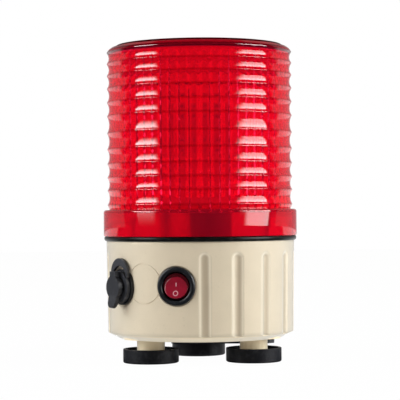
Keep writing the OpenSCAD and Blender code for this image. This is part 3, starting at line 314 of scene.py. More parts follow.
@dataclass(frozen=True)
class CastPlastic(Finish):
    """The housing's cream plastic: grain, flecks, soft edges, painted shade and painted
    highlights.

    The wall's radius is wall_r + lean (z - edge_z), and what lies deeper than skin is inside.
    Grooves stand every groove_step degrees from first_groove, save within bare_half degrees of
    bare_middle, and end in a half ball round groove_top. Their lips, the lower edge and the rim
    are rolled by bump: each sinks by its drop times (1 - distance / width)^2, and under the lower
    edge the distance counts edge_under times. The grooves' bottoms are darkened as painted shade,
    which starts and is full at two depths, and their lips are lightened as a painted highlight.
    Below the edge, the downward-facing underside gets a paler, warmer colour as painted light,
    which starts and is full at two heights.
    """

    fleck: Colour = (0.42, 0.33, 0.22)
    fleck_size: float = 0.0011
    fleck_range: Range = (0.66, 0.8)
    fleck_share: float = 0.25
    # Painted shade: the colour that the bottoms of the grooves are darkened towards.
    groove_shade: Colour = (0.43, 0.33, 0.21)
    groove_shade_depths: Range = (0.2 * MM, 1.1 * MM)
    groove_shade_share: float = 0.6
    # Painted light: a paler, warmer colour for the downward-facing underside below the lower edge.
    under: Colour = (0.99, 0.80, 0.52)
    under_heights: Range = (0.2 * MM, -0.6 * MM)
    # Painted highlight: the colour that the groove lips are lightened towards.
    lip_highlight: Colour = (0.96, 0.83, 0.63)
    lip_highlight_share: float = 0.7
    wall_r: float = 57.4 * MM
    lean: float = 0.8 / 56.2
    skin: float = 2.0 * MM
    fade: float = 0.4 * MM
    edge_z: float = 17.8 * MM
    first_groove: float = 272.5
    groove_step: float = 20.0
    bare_middle: float = 232.5
    bare_half: float = 30.0
    groove_half: float = 3.0 * MM
    groove_top: float = 64.0 * MM
    lip: float = 1.7 * MM
    lip_drop: float = 0.42 * MM
    edge: float = 2.2 * MM
    edge_under: float = 2.2
    edge_drop: float = 0.5 * MM
    rim_z: float = 74.0 * MM
    rim: float = 1.1 * MM
    rim_drop: float = 0.35 * MM

    def sockets(self, shader: Shader) -> dict[str, Any]:
        """Adds flecks, dirt and the roll of the edges to the base finish's inputs.

        Args:
            shader: Tree that the patterns' nodes go to.

        Returns:
            Values and signals by the socket's name.
        """
        inputs = super().sockets(shader)
        place = shader.place()
        x, y, z = shader.axes(place)
        radius = (x * x + y * y).root()
        above = z - self.edge_z
        wall_r = self.wall_r + above * self.lean
        depth = wall_r - radius
        outer = depth.ramp(self.skin, self.skin - self.fade)
        wall = outer * above.ramp(0.0, self.fade)
        specks = shader.noise(place, self.fleck_size, detail=1.0).ramp(*self.fleck_range)
        plain_tone = shader.blend(specks * self.fleck_share, inputs["Base Color"], self.fleck)
        # Painted light: the underside below the edge takes the paler, warmer colour.
        plain_tone = shader.blend(above.ramp(*self.under_heights), plain_tone, self.under)
        # Painted shade: the grooves' bottoms are darkened, more so the deeper they lie.
        groove_shade_mask = wall * depth.ramp(*self.groove_shade_depths) * self.groove_shade_share
        shaded_tone = shader.blend(groove_shade_mask, plain_tone, self.groove_shade)

        bare = math.radians(self.bare_middle)
        along_bare = x * math.cos(bare) + y * math.sin(bare)
        off_bare = radius * math.cos(math.radians(self.bare_half)) - along_bare
        grooved = off_bare.ramp(-self.fade / 2.0, self.fade / 2.0)
        turn = y.bearing(x) - math.radians(self.first_groove)
        aside = turn.zigzag(math.radians(self.groove_step / 2.0)) * wall_r
        over = (z - self.groove_top).larger(0.0)
        off_line = (aside * aside + over * over).root()
        lip = (1.0 - abs(off_line - self.groove_half) / self.lip).larger(0.0) * grooved * wall
        # Painted highlight: the groove lips are lightened, most along the groove's edge.
        inputs["Base Color"] = shader.blend(lip * lip * self.lip_highlight_share, shaded_tone, self.lip_highlight)
        from_edge = above.larger(0.0) - above.smaller(0.0) * self.edge_under
        roll = (1.0 - from_edge / self.edge).larger(0.0)
        rim = (1.0 - (self.rim_z - z) / self.rim).larger(0.0) * outer
        grain = shader.noise(place, self.grain_size)
        relief = (grain * self.grain_depth - lip * lip * self.lip_drop
                  - roll * roll * self.edge_drop - rim * rim * self.rim_drop)
        inputs["Normal"] = shader.bump(relief, 1.0)
        return inputs


@dataclass(frozen=True)
class TurnedMetal(Finish):
    """Metal with fine rings left by turning or drawing, and duller patches from handling."""

    metallic: float = 1.0
    ring_size: float = 0.0005
    ring_flat: float = 20.0
    ring_depth: float = 0.000012
    patch_size: float = 0.006
    patch_range: Range = (0.45, 0.75)
    patch_dull: float = 0.12

    def sockets(self, shader: Shader) -> dict[str, Any]:
        """Adds rings across Z and dull patches to the base finish's inputs.

        Args:
            shader: Tree that the patterns' nodes go to.

        Returns:
            Values and signals by the socket's name.
        """
        inputs = super().sockets(shader)
        place = shader.place()
        rings = shader.noise(place, self.ring_size, flat=self.ring_flat)
        patches = shader.noise(place, self.patch_size).ramp(*self.patch_range)
        inputs["Normal"] = shader.bump(rings, self.ring_depth)
        inputs["Roughness"] = self.roughness + patches * self.patch_dull
        return inputs


@dataclass(frozen=True)
class BlackRubber(Finish):
    """Black rubber: a fine grain, and patches of paler dust in place of the mottle."""

    dust: Colour = (0.10, 0.10, 0.105)
    dust_size: float = 0.004
    dust_range: Range = (0.5, 0.75)
    dust_share: float = 0.5

    def sockets(self, shader: Shader) -> dict[str, Any]:
        """Puts dust on the base finish's colour.

        Args:
            shader: Tree that the patterns' nodes go to.

        Returns:
            Values and signals by the socket's name.
        """
        inputs = super().sockets(shader)
        dusty = shader.noise(shader.place(), self.dust_size, detail=4.0).ramp(*self.dust_range)
        inputs["Base Color"] = shader.blend(dusty * self.dust_share, self.colour, self.dust)
        return inputs


@dataclass(frozen=True)
class ClearPlastic(Finish):
    """Tinted clear plastic or glass, which lets the lamps light what is behind it.

    Its inner face is hazy: within inner_from of the axis, and within low_from below low_below.
    Where it is thick, in the crown, the ridges and the skirt, its colour is multiplied by that
    place's tone. Clear is the share of light that goes through rather than being scattered, and
    shade is the colour of the lamps' light on what is behind it.
    """

    shade: Colour = (0.9, 0.05, 0.08)
    index: float = 1.49
    clear: float = 1.0
    ripple_size: float = 0.003
    inner_from: float = 54.2 * MM
    inner_fade: float = 0.4 * MM
    inner_haze: float = 0.0
    low_from: float = 57.2 * MM
    low_below: float = 91.0 * MM
    low_fade: float = 0.3 * MM
    low_haze: float = 0.0
    crown_from: float = 190.8 * MM
    crown_fade: float = 0.6 * MM
    crown_tone: float = 1.0
    ridge_from: float = 56.95 * MM
    ridge_fade: float = 0.3 * MM
    ridge_tone: float = 1.0
    skirt_top: float = 93.2 * MM
    skirt_fade: float = 0.2 * MM
    skirt_tone: float = 1.0
    calm_from: float = 193.0 * MM
    flat_from: float = 194.9 * MM
    flat_calm: float = 0.0

    def surface(self, shader: Shader) -> Signal:
        """Refracting shader that shadow rays see as a plain tinted window.

        Towards the flat top its reflections fade, and flat_calm is the share that the top leaves
        out.

        Args:
            shader: Tree that the nodes go to.

        Returns:
            The surface shader.
        """
        glossy = shader.value("ShaderNodeBsdfPrincipled", None, self.sockets(shader))
        _, _, z = shader.axes(shader.place())
        calm = z.ramp(self.calm_from, self.flat_from) * self.flat_calm
        dull = shader.value("ShaderNodeBsdfRefraction", None, {
            "Color": tuple(c * self.crown_tone for c in self.colour),
            "Roughness": self.roughness,
            "IOR": self.index,
        })
        window = shader.value("ShaderNodeBsdfTransparent", None, {"Color": self.shade})
        shadow, = shader.rays("Shadow")
        return shader.mixed(shadow, shader.mixed(calm, glossy, dull), window)

    def sockets(self, shader: Shader) -> dict[str, Any]:
        """Inputs of the refracting shader, with the haze and the tones of the thick places.

        Args:
            shader: Tree that the patterns' nodes go to.

        Returns:
            Values and signals by the socket's name.
        """
        place = shader.place()
        x, y, z = shader.axes(place)
        radius = (x * x + y * y).root()
        ripple = shader.noise(place, self.ripple_size)
        low = z.ramp(self.low_below + self.low_fade, self.low_below)
        limit = low * (self.low_from - self.inner_from) + self.inner_from
        inner = (radius - limit).ramp(self.inner_fade, 0.0)
        haze = inner * (low * (self.low_haze - self.inner_haze) + self.inner_haze)
        crown = z.ramp(self.crown_from, self.crown_from + self.crown_fade)
        skirt = z.ramp(self.skirt_top + self.skirt_fade, self.skirt_top - self.skirt_fade)
        ridge = radius.ramp(self.ridge_from, self.ridge_from + self.ridge_fade) * (1.0 - skirt)
        thick = (crown * (1.0 - self.crown_tone) + ridge * (1.0 - self.ridge_tone)
                 + skirt * (1.0 - self.skirt_tone))
        return {
            "Base Color": shader.blend(thick, self.colour, (0.0, 0.0, 0.0)),
            "Roughness": self.roughness + haze,
            "Transmission Weight": self.clear,
            "IOR": self.index,
            "Normal": shader.bump(ripple, self.grain_depth),
        }


@dataclass(frozen=True)
class SilveredBowl(TurnedMetal):
    """Plastic dish that is silvered on its hollow side only.

    The hollow side is where y = (x^2 + (z - lamp)^2) / 4f - f, for the focus f, and the silver
    ends between the two depths of silver_depths behind it.
    """

    back: Colour = (0.88, 0.84, 0.77)
    back_roughness: float = 0.45
    silver_depths: Range = (0.5 * MM, 0.3 * MM)
    focus: float = 15 * MM
    below_lamp: float = 32 * MM

    def sockets(self, shader: Shader) -> dict[str, Any]:
        """Keeps the silver to the hollow side.

        Args:
            shader: Tree that the patterns' nodes go to.

        Returns:
            Values and signals by the socket's name.
        """
        inputs = super().sockets(shader)
        low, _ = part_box("reflector")
        x, y, z = shader.axes(shader.place())
        up = z - (low.z + self.below_lamp)
        behind = (x * x + up * up) * (0.25 / self.focus) - self.focus - y
        silver = behind.ramp(*self.silver_depths)
        gloss = inputs["Roughness"] - self.back_roughness
        inputs["Base Color"] = shader.blend(silver, self.back, inputs["Base Color"])
        inputs["Metallic"] = silver * self.metallic
        inputs["Roughness"] = silver * gloss + self.back_roughness
        return inputs


@dataclass(frozen=True)
class Finishes:
    """Every finish that the beacon has."""

    housing: Finish = CastPlastic("housing", (0.67, 0.545, 0.38), 0.45, sheen=1.0, mottle=0.02,
                                  grain_size=0.0006, grain_depth=0.00003)
    lens: Finish = ClearPlastic("lens", (0.97, 0.013, 0.066), 0.02, shade=(1.0, 0.06, 0.18),
                                clear=0.85, grain_depth=0.000002, inner_haze=0.02, low_haze=0.28,
                                crown_tone=0.42, ridge_tone=0.6, skirt_tone=0.94, flat_calm=0.93)
    seal: Finish = BlackRubber("seal", (0.005, 0.005, 0.005), 0.30, specular=0.18,
                               dust=(0.03, 0.025, 0.025), grain_depth=0.000004)
    boot: Finish = BlackRubber("boot", (0.009, 0.009, 0.011), 0.45, specular=0.2,
                               dust=(0.035, 0.035, 0.04), grain_size=0.0012, grain_depth=0.00008)
    cap: Finish = BlackRubber("cap", (0.021, 0.021, 0.025), 0.38, specular=0.4,
                              dust=(0.035, 0.035, 0.038))
    strap: Finish = BlackRubber("strap", (0.032, 0.032, 0.037), 0.38, specular=0.4,
                                dust=(0.05, 0.05, 0.055))
    bezel: Finish = Finish("bezel", (0.009, 0.010, 0.012), 0.34, specular=0.42)
    deck: Finish = Finish("deck", (0.025, 0.026, 0.03), 0.38)
    chassis: Finish = Finish("chassis", (0.86, 0.78, 0.66), 0.4)
    motor: Finish = TurnedMetal("motor", (0.15, 0.14, 0.135), 0.42, metallic=0.3)
    # The rocker's red plastic in two copies: the body near black as painted shade, the face pad
    # lighter as painted light.
    rocker: Finish = Finish("rocker", (0.055, 0.002, 0.005), 0.20, coat=0.3, mottle=0.15)
    rocker_lit_face: Finish = Finish("rocker_lit_face", (0.26, 0.008, 0.022), 0.16, coat=0.5,
                                 mottle=0.15)
    mark: Finish = Finish("mark", (0.62, 0.30, 0.33), 0.4, mottle=0.04)
    screw: Finish = TurnedMetal("screw", (0.62, 0.63, 0.65), 0.28)
    zinc: Finish = TurnedMetal("zinc", (0.55, 0.56, 0.58), 0.38)
    motor_cap: Finish = Finish("motor_cap", (0.75, 0.74, 0.68), 0.45)
    brass: Finish = TurnedMetal("brass", (0.80, 0.60, 0.25), 0.25)
    ceramic: Finish = Finish("ceramic", (0.82, 0.80, 0.74), 0.2, coat=0.5)
    glass: Finish = ClearPlastic("glass", (0.97, 0.98, 0.98), 0.0, shade=(0.95, 0.95, 0.95),
                                 index=1.45, grain_depth=0.000003)
    filament: Finish = TurnedMetal("filament", (0.35, 0.34, 0.33), 0.35)
    lead: Finish = Finish("lead", (0.45, 0.03, 0.03), 0.4)
    cell: Finish = Finish("cell", (0.05, 0.12, 0.28), 0.25, coat=0.4)
    board: Finish = Finish("board", (0.02, 0.16, 0.06), 0.3, coat=0.3)
    board_part: Finish = Finish("board_part", (0.03, 0.03, 0.034), 0.4)
    pot: Finish = Finish("pot", (0.03, 0.03, 0.034), 0.35, metallic=0.3)
    ferrite: Finish = Finish("ferrite", (0.06, 0.06, 0.065), 0.55, grain_depth=0.00003)
    gear: Finish = Finish("gear", (0.80, 0.80, 0.76), 0.38)
    mirror: Finish = SilveredBowl("mirror", (0.90, 0.90, 0.92), 0.06)
    bracket: Finish = Finish("bracket", (0.74, 0.70, 0.62), 0.5)


FINISH = Finishes()


class Surface:
    """A mesh that grids of points are gathered into."""

    def __init__(self, name: str) -> None:
        """Starts an empty surface.

        Args:
            name: The piece's name.
        """
        self.name = name
        self.points: list[np.ndarray] = []
        self.faces: list[list[tuple[int, ...]]] = []
        self.count = 0

    def add(self, points: np.ndarray, along: bool = False,
            first_pole: Optional[Sequence[float]] = None,
            last_pole: Optional[Sequence[float]] = None) -> None:
        """Adds a grid of quads whose last column joins the first.

        Args:
            points: Array of rows x columns x 3. Faces look along (row step) x (column step).
            along: True where the last row joins the first too.
            first_pole: Point that closes the first row.
            last_pole: Point that closes the last row.
        """
        rows, columns = points.shape[:2]
        index = self.count + np.arange(rows * columns).reshape(rows, columns)
        index = np.concatenate([index, index[:, :1]], axis=1)
        if along:
            index = np.concatenate([index, index[:1]], axis=0)
        quads = np.stack(
            [index[:-1, :-1], index[1:, :-1], index[1:, 1:], index[:-1, 1:]], axis=-1)
        self.faces.append([tuple(q) for q in quads.reshape(-1, 4).tolist()])
        self.points.append(points.reshape(-1, 3))
        self.count += rows * columns
        for pole, row, flip in ((first_pole, index[0], False), (last_pole, index[-1], True)):
            if pole is not None:
                fan = np.stack([row[:-1], row[1:], np.full(len(row) - 1, self.count)], axis=-1)
                if flip:
                    fan = fan[:, ::-1]
                self.faces.append([tuple(t) for t in fan.tolist()])
                self.points.append(np.asarray(pole, float).reshape(1, 3))
                self.count += 1

    def made(self, material: bpy.types.Material, sharp_angle: float = 40.0) -> bpy.types.Object:
        """Makes the Blender object, smooth but for its sharp edges.

        Args:
            material: Material of all its faces.
            sharp_angle: Edges that turn by more than this many degrees stay sharp.

        Returns:
            The object, in the scene.
        """
        mesh = bpy.data.meshes.new(self.name)
        faces = [face for group in self.faces for face in group]
        mesh.from_pydata(np.concatenate(self.points).tolist(), [], faces)
        mesh.polygons.foreach_set("use_smooth", np.ones(len(mesh.polygons), bool))
        mesh.set_sharp_from_angle(angle=math.radians(sharp_angle))
        mesh.materials.append(material)
        mesh.update()
        made = bpy.data.objects.new(self.name, mesh)
        bpy.context.scene.collection.objects.link(made)
        LOG.info("%s: %d faces", self.name, len(faces))
        return made

    def piece(self, body: str, finish: Finish, sharp_angle: float,
              replaces: Sequence[str] = ()) -> None:
        """Makes the Blender object, dresses it and lets it ride on its body.

        Args:
            body: Body that the piece moves with.
            finish: Its finish.
            sharp_angle: Edges that turn by more than this many degrees stay sharp.
            replaces: Solids that the piece stands for.
        """
        made = self.made(finish.material(), sharp_angle)
        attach(made, body)
        if replaces:
            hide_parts(*replaces)


def full_turn(columns: int) -> np.ndarray:
    """Evenly spaced angles of a full turn, in radians."""
    return np.linspace(0.0, 2.0 * np.pi, columns, endpoint=False)


def turned(radii: np.ndarray, heights: np.ndarray, columns: int) -> np.ndarray:
    """Profile turned about Z: x = r cos a, y = r sin a, z = h, for evenly spaced angles a.

    Args:
        radii: Radii as rows x columns, or rows x 1 where they stay the same round the axis.
        heights: Height of each row.
        columns: Number of angles.

    Returns:
        Points as rows x columns x 3.
    """
    angle = full_turn(columns)
    heights = np.broadcast_to(heights[:, None], (len(heights), columns))
    return np.stack([radii * np.cos(angle), radii * np.sin(angle), heights], axis=-1)


def rounded(corners: Sequence[tuple[float, float, float]], steps: int = 6) -> np.ndarray:
    """Outline through corners (r, z, radius), each corner cut by an arc of that radius.

    A corner of radius q between unit directions u and v is left at the distance q tan(turn / 2) on
    both sides, and the arc between is the circle that touches both lines there.

    Args:
        corners: Corners with their radii; a radius of 0 keeps the corner.
        steps: Points on each arc, less one.

    Returns:
        Points as n x 2.
    """
    places = np.array([c[:2] for c in corners], float)
    radii = [radius for _, _, radius in corners[1:-1]]
    out = [places[:1]]
    for before, here, after, radius in zip(places[:-2], places[1:-1], places[2:], radii):
        if radius <= 0.0:
            out.append(here[None])
            continue
        u = (here - before) / np.linalg.norm(here - before)
        v = (after - here) / np.linalg.norm(after - here)
        turn = math.acos(float(np.clip(u @ v, -1.0, 1.0)))
        side = math.copysign(1.0, u[0] * v[1] - u[1] * v[0])
        normal = side * np.array([-u[1], u[0]])
        start = here - u * radius * math.tan(turn / 2.0)
        swing = np.linspace(0.0, turn, steps + 1)[:, None]
        out.append(start + radius * (normal * (1.0 - np.cos(swing)) + u * np.sin(swing)))
    out.append(places[-1:])
    return np.concatenate(out)


@dataclass
class SubAssembly:
    """Pieces that are bought, made or fitted together, with the finish of each solid."""

    FINISHES: ClassVar[Mapping[Finish, Sequence[str]]] = {}

    def dress(self) -> None:
        """Gives each solid of the sub-assembly its finish."""
        for finish, names in self.FINISHES.items():
            for name in names:
                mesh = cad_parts[name].data
                mesh.materials.clear()
                mesh.materials.append(finish.material())
                LOG.info("%s: %s", name, finish.name)

    def build(self) -> None:
        """Dresses the solids; some sub-assemblies add surfaces that the solids leave plain."""
        self.dress()


@dataclass
class Lens(SubAssembly):
    """The red lens: a plain skirt below a barrel of hollow bands with upright flutes inside.

    Heights are counted from the solid's own lower edge and top. Each corner of the shoulder is
    given by its shares of shoulder_r inwards and up from the last ridge, and by its radius. The
    step is the foot of the raised crown, and a fall is how far below the crown's inner side a row
    lies.
    """

    skirt_r: float = 60 * MM
    skirt_h: float = 16.2 * MM
    skirt_wall: float = 3 * MM
    skirt_fillet: float = 1.6 * MM
    skirt_edge: float = 0.4 * MM
    root_fillet: float = 0.3 * MM
    ridge_r: float = 57.4 * MM
    band_depth: float = 1.2 * MM
    band_power: float = 2.4
    band_rows: tuple[float, ...] = (0.0, 0.014, 0.036, 0.08, 0.16, 0.30)
    band_heights: tuple[float, ...] = (9.0, 8.0, 8.5, 9.0, 10.0, 10.5, 8.5, 8.5, 8.0, 7.5, 7.0)
    ridge_soft: float = 0.3 * MM
    first_ridge: float = 2.9 * MM
    shoulder_r: float = 3 * MM
    shoulder: tuple[tuple[float, float, float], ...] = ((0.33, 0.5, 0.8), (0.87, 0.95, 1.0))
    step_w: float = 0.7 * MM
    step_up: float = 1.05
    step_fillet: float = 0.15 * MM
    crown_inset: float = 6 * MM
    crown_h: float = 1.4 * MM
    crown_fillet: float = 0.5 * MM
    arc_steps: int = 8
    top_wall: float = 3 * MM
    top_soft: float = 0.5 * MM
    flute_r: float = 54.0 * MM
    flute_depth: float = 1.5 * MM
    flutes: int = 60
    flute_rows: int = 4
    flute_fall: float = 3.2 * MM
    plain_fall: float = 2.2 * MM
    shelf_drop: float = 2.2 * MM
    shelf_lip: float = 0.4 * MM
    shelf_soft: float = 0.3 * MM
    columns: int = 480

    def __post_init__(self) -> None:
        """Takes the lens's own heights from the solid that it stands for."""
        low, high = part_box("lens_cover")
        self.bottom, self.top = low.z, high.z
        self.skirt_top = self.bottom + self.skirt_h
        self.shelf = self.skirt_top - self.shelf_drop

    def bands(self) -> np.ndarray:
        """Profile of the barrel: r = ridge - depth (1 - (1 - 2u) ^ power), rounded at each ridge.

        A band runs from ridge to ridge, t is the share of its height and u = min(t, 1 - t). The
        ridge is rounded by sqrt(u^2 + s^2) - s in place of u, where s is ridge_soft as a share of
        the height.

        Returns:
            Points as n x 2, from the first ridge to the last.
        """
        near = np.array(self.band_rows)
        share = np.concatenate([near, [0.5], 1.0 - near[:0:-1]])
        heights = np.array(self.band_heights) * MM
        starts = self.skirt_top + self.first_ridge + np.concatenate([[0.0], np.cumsum(heights)])
        z = starts[:-1, None] + heights[:, None] * share
        soft = self.ridge_soft / heights[:, None]
        reach = np.sqrt(np.minimum(share, 1.0 - share) ** 2 + soft ** 2) - soft
        r = self.ridge_r - self.band_depth * (1.0 - (1.0 - 2.0 * reach) ** self.band_power)
        rows = np.stack([r, z], axis=-1).reshape(-1, 2)
        return np.concatenate([rows, [[self.ridge_r, starts[-1]]]])

    def outside(self) -> np.ndarray:
        """Outer profile from the middle of the crown down to the skirt's lower edge.

        Returns:
            Points as n x 2.
        """
        ridge_z = self.skirt_top + self.first_ridge
        shoulder_z = ridge_z + sum(self.band_heights) * MM
        crown_r = self.ridge_r - self.crown_inset
        low = rounded([
            (self.skirt_r - self.skirt_wall, self.bottom, 0.0),
            (self.skirt_r, self.bottom, self.skirt_edge),
            (self.skirt_r, self.skirt_top, self.skirt_fillet),
            (self.ridge_r - self.band_depth, self.skirt_top, self.root_fillet),
            (self.ridge_r, ridge_z, 0.0)])
        corners = [(self.ridge_r - self.shoulder_r * inwards, shoulder_z + self.shoulder_r * up,
                    radius * MM) for inwards, up, radius in self.shoulder]
        step_z = shoulder_z + self.shoulder_r * self.step_up
        high = rounded([
            (self.ridge_r, shoulder_z, 0.0),
            *corners,
            (crown_r + self.step_w, step_z, self.step_fillet),
            (crown_r, self.top, self.crown_fillet),
            (crown_r * 0.5, self.top, 0.0)], self.arc_steps)
        return np.concatenate([low[:-1], self.bands(), high[1:]])[::-1]

    def build(self) -> None:
        """Makes the lens as one closed shell, from the crown round the skirt and back up inside.

        Outside, each row is a circle. Inside, the radius of the barrel's rows is
        flute_r - flute_depth |sin(flutes a / 2)|, and the flutes end a little below the crown.
        """
        outer = self.outside()
        wave = np.abs(np.sin(self.flutes * full_turn(self.columns) / 2.0))
        fluted = self.flute_r - self.flute_depth * wave
        inner_top = self.top - self.top_wall - self.crown_h
        skirt_in = np.full(self.columns, self.skirt_r - self.skirt_wall)
        middle = np.full(self.columns, self.flute_r * 0.5)
        plain = np.full(self.columns, self.flute_r - self.flute_depth * 0.5)
        flute_top = inner_top - self.flute_fall
        shares = np.arange(1, self.flute_rows + 1) / self.flute_rows
        rows = [
            (skirt_in, self.shelf),
            (skirt_in - self.shelf_lip, self.shelf),
            (fluted + self.shelf_soft, self.shelf),
            (fluted, self.shelf + self.shelf_soft),
            *((fluted, self.shelf + (flute_top - self.shelf) * share) for share in shares),
            (plain, inner_top - self.plain_fall),
            (plain, inner_top - self.top_soft),
            (plain - self.top_soft, inner_top),
            (middle, inner_top)]
        radii = np.concatenate([
            np.repeat(outer[:, :1], self.columns, axis=1), [r for r, _ in rows]])
        heights = np.concatenate([outer[:, 1], [z for _, z in rows]])
        points = turned(radii, heights, self.columns)
        surface = Surface("lens_shell")
        surface.add(points, first_pole=(0, 0, self.top), last_pole=(0, 0, inner_top))
        surface.piece("lens", FINISH.lens, 50.0, ["lens_cover"])


@dataclass
class Housing(SubAssembly):
    """The cream housing with its seal."""

    FINISHES = {FINISH.housing: ["base_housing"], FINISH.seal: ["seal_ring"]}


@dataclass
class Feet(SubAssembly):
    """Three magnet feet in rubber boots."""

    FINISHES = {
        FINISH.boot: ["foot_boot_rear", "foot_boot_left", "foot_boot_right"],
        FINISH.pot: ["foot_pot_rear", "foot_pot_left", "foot_pot_right"],
        FINISH.ferrite: ["foot_magnet_rear", "foot_magnet_left", "foot_magnet_right"],
        FINISH.screw: ["foot_screws"],
    }


@dataclass(frozen=True)
class WallFrame:
    """Frame on the side wall: x to the viewer's right, y up, z outwards."""

    bearing: float
    seat_r: float
    height: float

    def world(self, points: np.ndarray) -> np.ndarray:
        """Turns points of this frame into the model's frame.

        Args:
            points: Array whose last axis holds x, y and z.

        Returns:
            (r cos b - x sin b, r sin b + x cos b, height + y), with r = seat_r + z and bearing b.
        """
        turn = math.radians(self.bearing)
        radius = self.seat_r + points[..., 2]
        return np.stack([radius * math.cos(turn) - points[..., 0] * math.sin(turn),
                         radius * math.sin(turn) + points[..., 0] * math.cos(turn),
                         self.height + points[..., 1]], axis=-1)


@dataclass
class Switch(SubAssembly):
    """The round rocker switch, with the rocker's face pad in a lighter red as painted light, and
    its two marks.
    """

    FINISHES = {
        FINISH.bezel: ["switch_body"],
        # The rocker body's near-black red is painted shade.
        FINISH.rocker: ["rocker"],
        FINISH.brass: ["switch_terminals"],
    }

    bearing: float = 255.6
    seat_r: float = 56.54 * MM
    height: float = 47.8 * MM
    pivot_z: float = -1.5 * MM
    face_z: float = 1.4 * MM
    fold_soft: float = 0.6 * MM
    tilt: float = 9.0
    pad_w: float = 7.0 * MM
    pad_h: float = 6.4 * MM
    pad_at: float = -1.3 * MM
    pad_t: float = 0.35 * MM
    pad_round: float = 0.45 * MM
    pad_sink: float = 0.6 * MM
    pad_columns: int = 64
    pad_rows: int = 9
    round_rows: int = 7
    mark_t: float = 0.03 * MM
    mark_columns: int = 40
    ring_r: float = 1.6 * MM
    ring_line: float = 0.5 * MM
    ring_at: float = -4.7 * MM
    bar_w: float = 0.55 * MM
    bar_h: float = 2.1 * MM
    bar_at: float = 0.6 * MM

    def face(self, x: np.ndarray, y: np.ndarray, lift: np.ndarray) -> np.ndarray:
        """Points on the rocker's two facets, which rise from its middle line, at rest.

        A facet is z = face + |y| tan(tilt) in the rocker's own frame, which is turned by -tilt
        about its axle. The fold is softened by sqrt(y^2 + s^2) - s in place of |y|, where s is
        fold_soft.

        Args:
            x: Distance to the viewer's right.
            y: Distance up.
            lift: Height above the facet.

        Returns:
            Points in the model's frame.
        """
        turn = math.radians(self.tilt)
        soft = np.sqrt(y * y + self.fold_soft ** 2) - self.fold_soft
        out = self.face_z - self.pivot_z + soft * math.tan(turn) + lift
        up = y * math.cos(turn) + out * math.sin(turn)
        out = out * math.cos(turn) - y * math.sin(turn) + self.pivot_z
        wall = WallFrame(self.bearing, self.seat_r, self.height)
        return wall.world(np.stack([x, up, out], axis=-1))

    def rings(self, x: np.ndarray, y: np.ndarray, lifts: Sequence[float]) -> np.ndarray:
        """Rows of points over the facets.

        Args:
            x: Distances to the right as rows x columns, or as one row for all.
            y: Distances up, in the same way.
            lifts: Height of each row above the facets.

        Returns:
            Points as rows x columns x 3.
        """
        x, y, lift = np.broadcast_arrays(x, y, np.array(lifts)[:, None])
        return self.face(x, y, lift)

    def pole(self, y: float, lift: float) -> np.ndarray:
        """Point on the upright middle line of the rocker, at the height y and lifted off it."""
        return self.rings(np.zeros(1), np.full(1, y), [lift])[0, 0]

    def pad(self) -> None:
        """Makes the round face pad: rings of growing radius, rounded off and closed underneath."""
        angle = full_turn(self.pad_columns)
        swing = np.linspace(0.0, np.pi / 2.0, self.round_rows)
        flat = self.pad_w - self.pad_round
        radius = np.concatenate([
            np.linspace(0.1, 0.9, self.pad_rows) * flat,
            flat + self.pad_round * np.sin(swing),
            [self.pad_w]])[::-1]
        lifts = np.concatenate([
            np.full(self.pad_rows, self.pad_t),
            self.pad_t - self.pad_round * (1.0 - np.cos(swing)),
            [-self.pad_sink]])[::-1]
        x = radius[:, None] * np.cos(angle)
        y = radius[:, None] * np.sin(angle) * (self.pad_h / self.pad_w) + self.pad_at
        surface = Surface("rocker_pad")
        surface.add(self.rings(x, y, lifts), first_pole=self.pole(self.pad_at, -self.pad_sink),
                    last_pole=self.pole(self.pad_at, self.pad_t))
        # The pad's lighter red is painted light on the rocker's face.
        surface.piece("switch_rocker", FINISH.rocker_lit_face, 50.0)

    def marks(self) -> None:
        """Makes the ring and the bar, each a closed strip a hair above the pad."""
        angle = full_turn(self.mark_columns)
        low, high = self.pad_t - self.mark_t, self.pad_t + self.mark_t
        inside = self.ring_r - self.ring_line
        radius = np.array([self.ring_r, self.ring_r, inside, inside])[:, None]
        surface = Surface("rocker_marks")
        surface.add(self.rings(radius * np.cos(angle), radius * np.sin(angle) + self.ring_at,
                               [low, high, high, low]), along=True)
        corner = np.array([(1.0, -1.0), (1.0, 1.0), (-1.0, 1.0), (-1.0, -1.0)])
        x = corner[:, 0] * self.bar_w / 2.0
        y = corner[:, 1] * self.bar_h / 2.0 + self.bar_at
        surface.add(self.rings(x, y, [low, high]), first_pole=self.pole(self.bar_at, low),
                    last_pole=self.pole(self.bar_at, high))
        surface.piece("switch_rocker", FINISH.mark, 30.0)

    def build(self) -> None:
        """Dresses the switch and adds the pad and its marks."""
        self.dress()
        self.pad()
        self.marks()


@dataclass
class Socket(SubAssembly):
    """The charging socket with its dust cap."""

    FINISHES = {
        FINISH.bezel: ["socket_body"],
        FINISH.screw: ["socket_nut"],
        FINISH.brass: ["socket_pins"],
        FINISH.cap: ["dust_cap"],
        FINISH.strap: ["cap_ring"],
    }


@dataclass
class Drive(SubAssembly):
    """Chassis, gear deck, motor, gears and the turning mirror."""

    FINISHES = {
        FINISH.chassis: ["chassis_deck", "gear_deck"],
        FINISH.motor: ["motor_can"],
        FINISH.screw: ["deck_screws", "leg_screws", "motor_screws", "reflector_screws",
                       "rotor_clip", "motor_shaft"],
        FINISH.zinc: ["lamp_post"],
        FINISH.bracket: ["reflector_bracket"],
        FINISH.motor_cap: ["motor_cap"],
        FINISH.brass: ["post_nut", "pinion", "gear_bush"],
        FINISH.gear: ["drive_gear"],
        FINISH.mirror: ["reflector"],
    }


@dataclass
class Lamp(SubAssembly):
    """The bayonet lamp in its holder."""

    FINISHES = {
        FINISH.ceramic: ["lamp_holder"],
        FINISH.brass: ["bulb_cap"],
        FINISH.glass: ["bulb_glass"],
        FINISH.filament: ["filament"],
        FINISH.lead: ["lamp_leads"],
    }


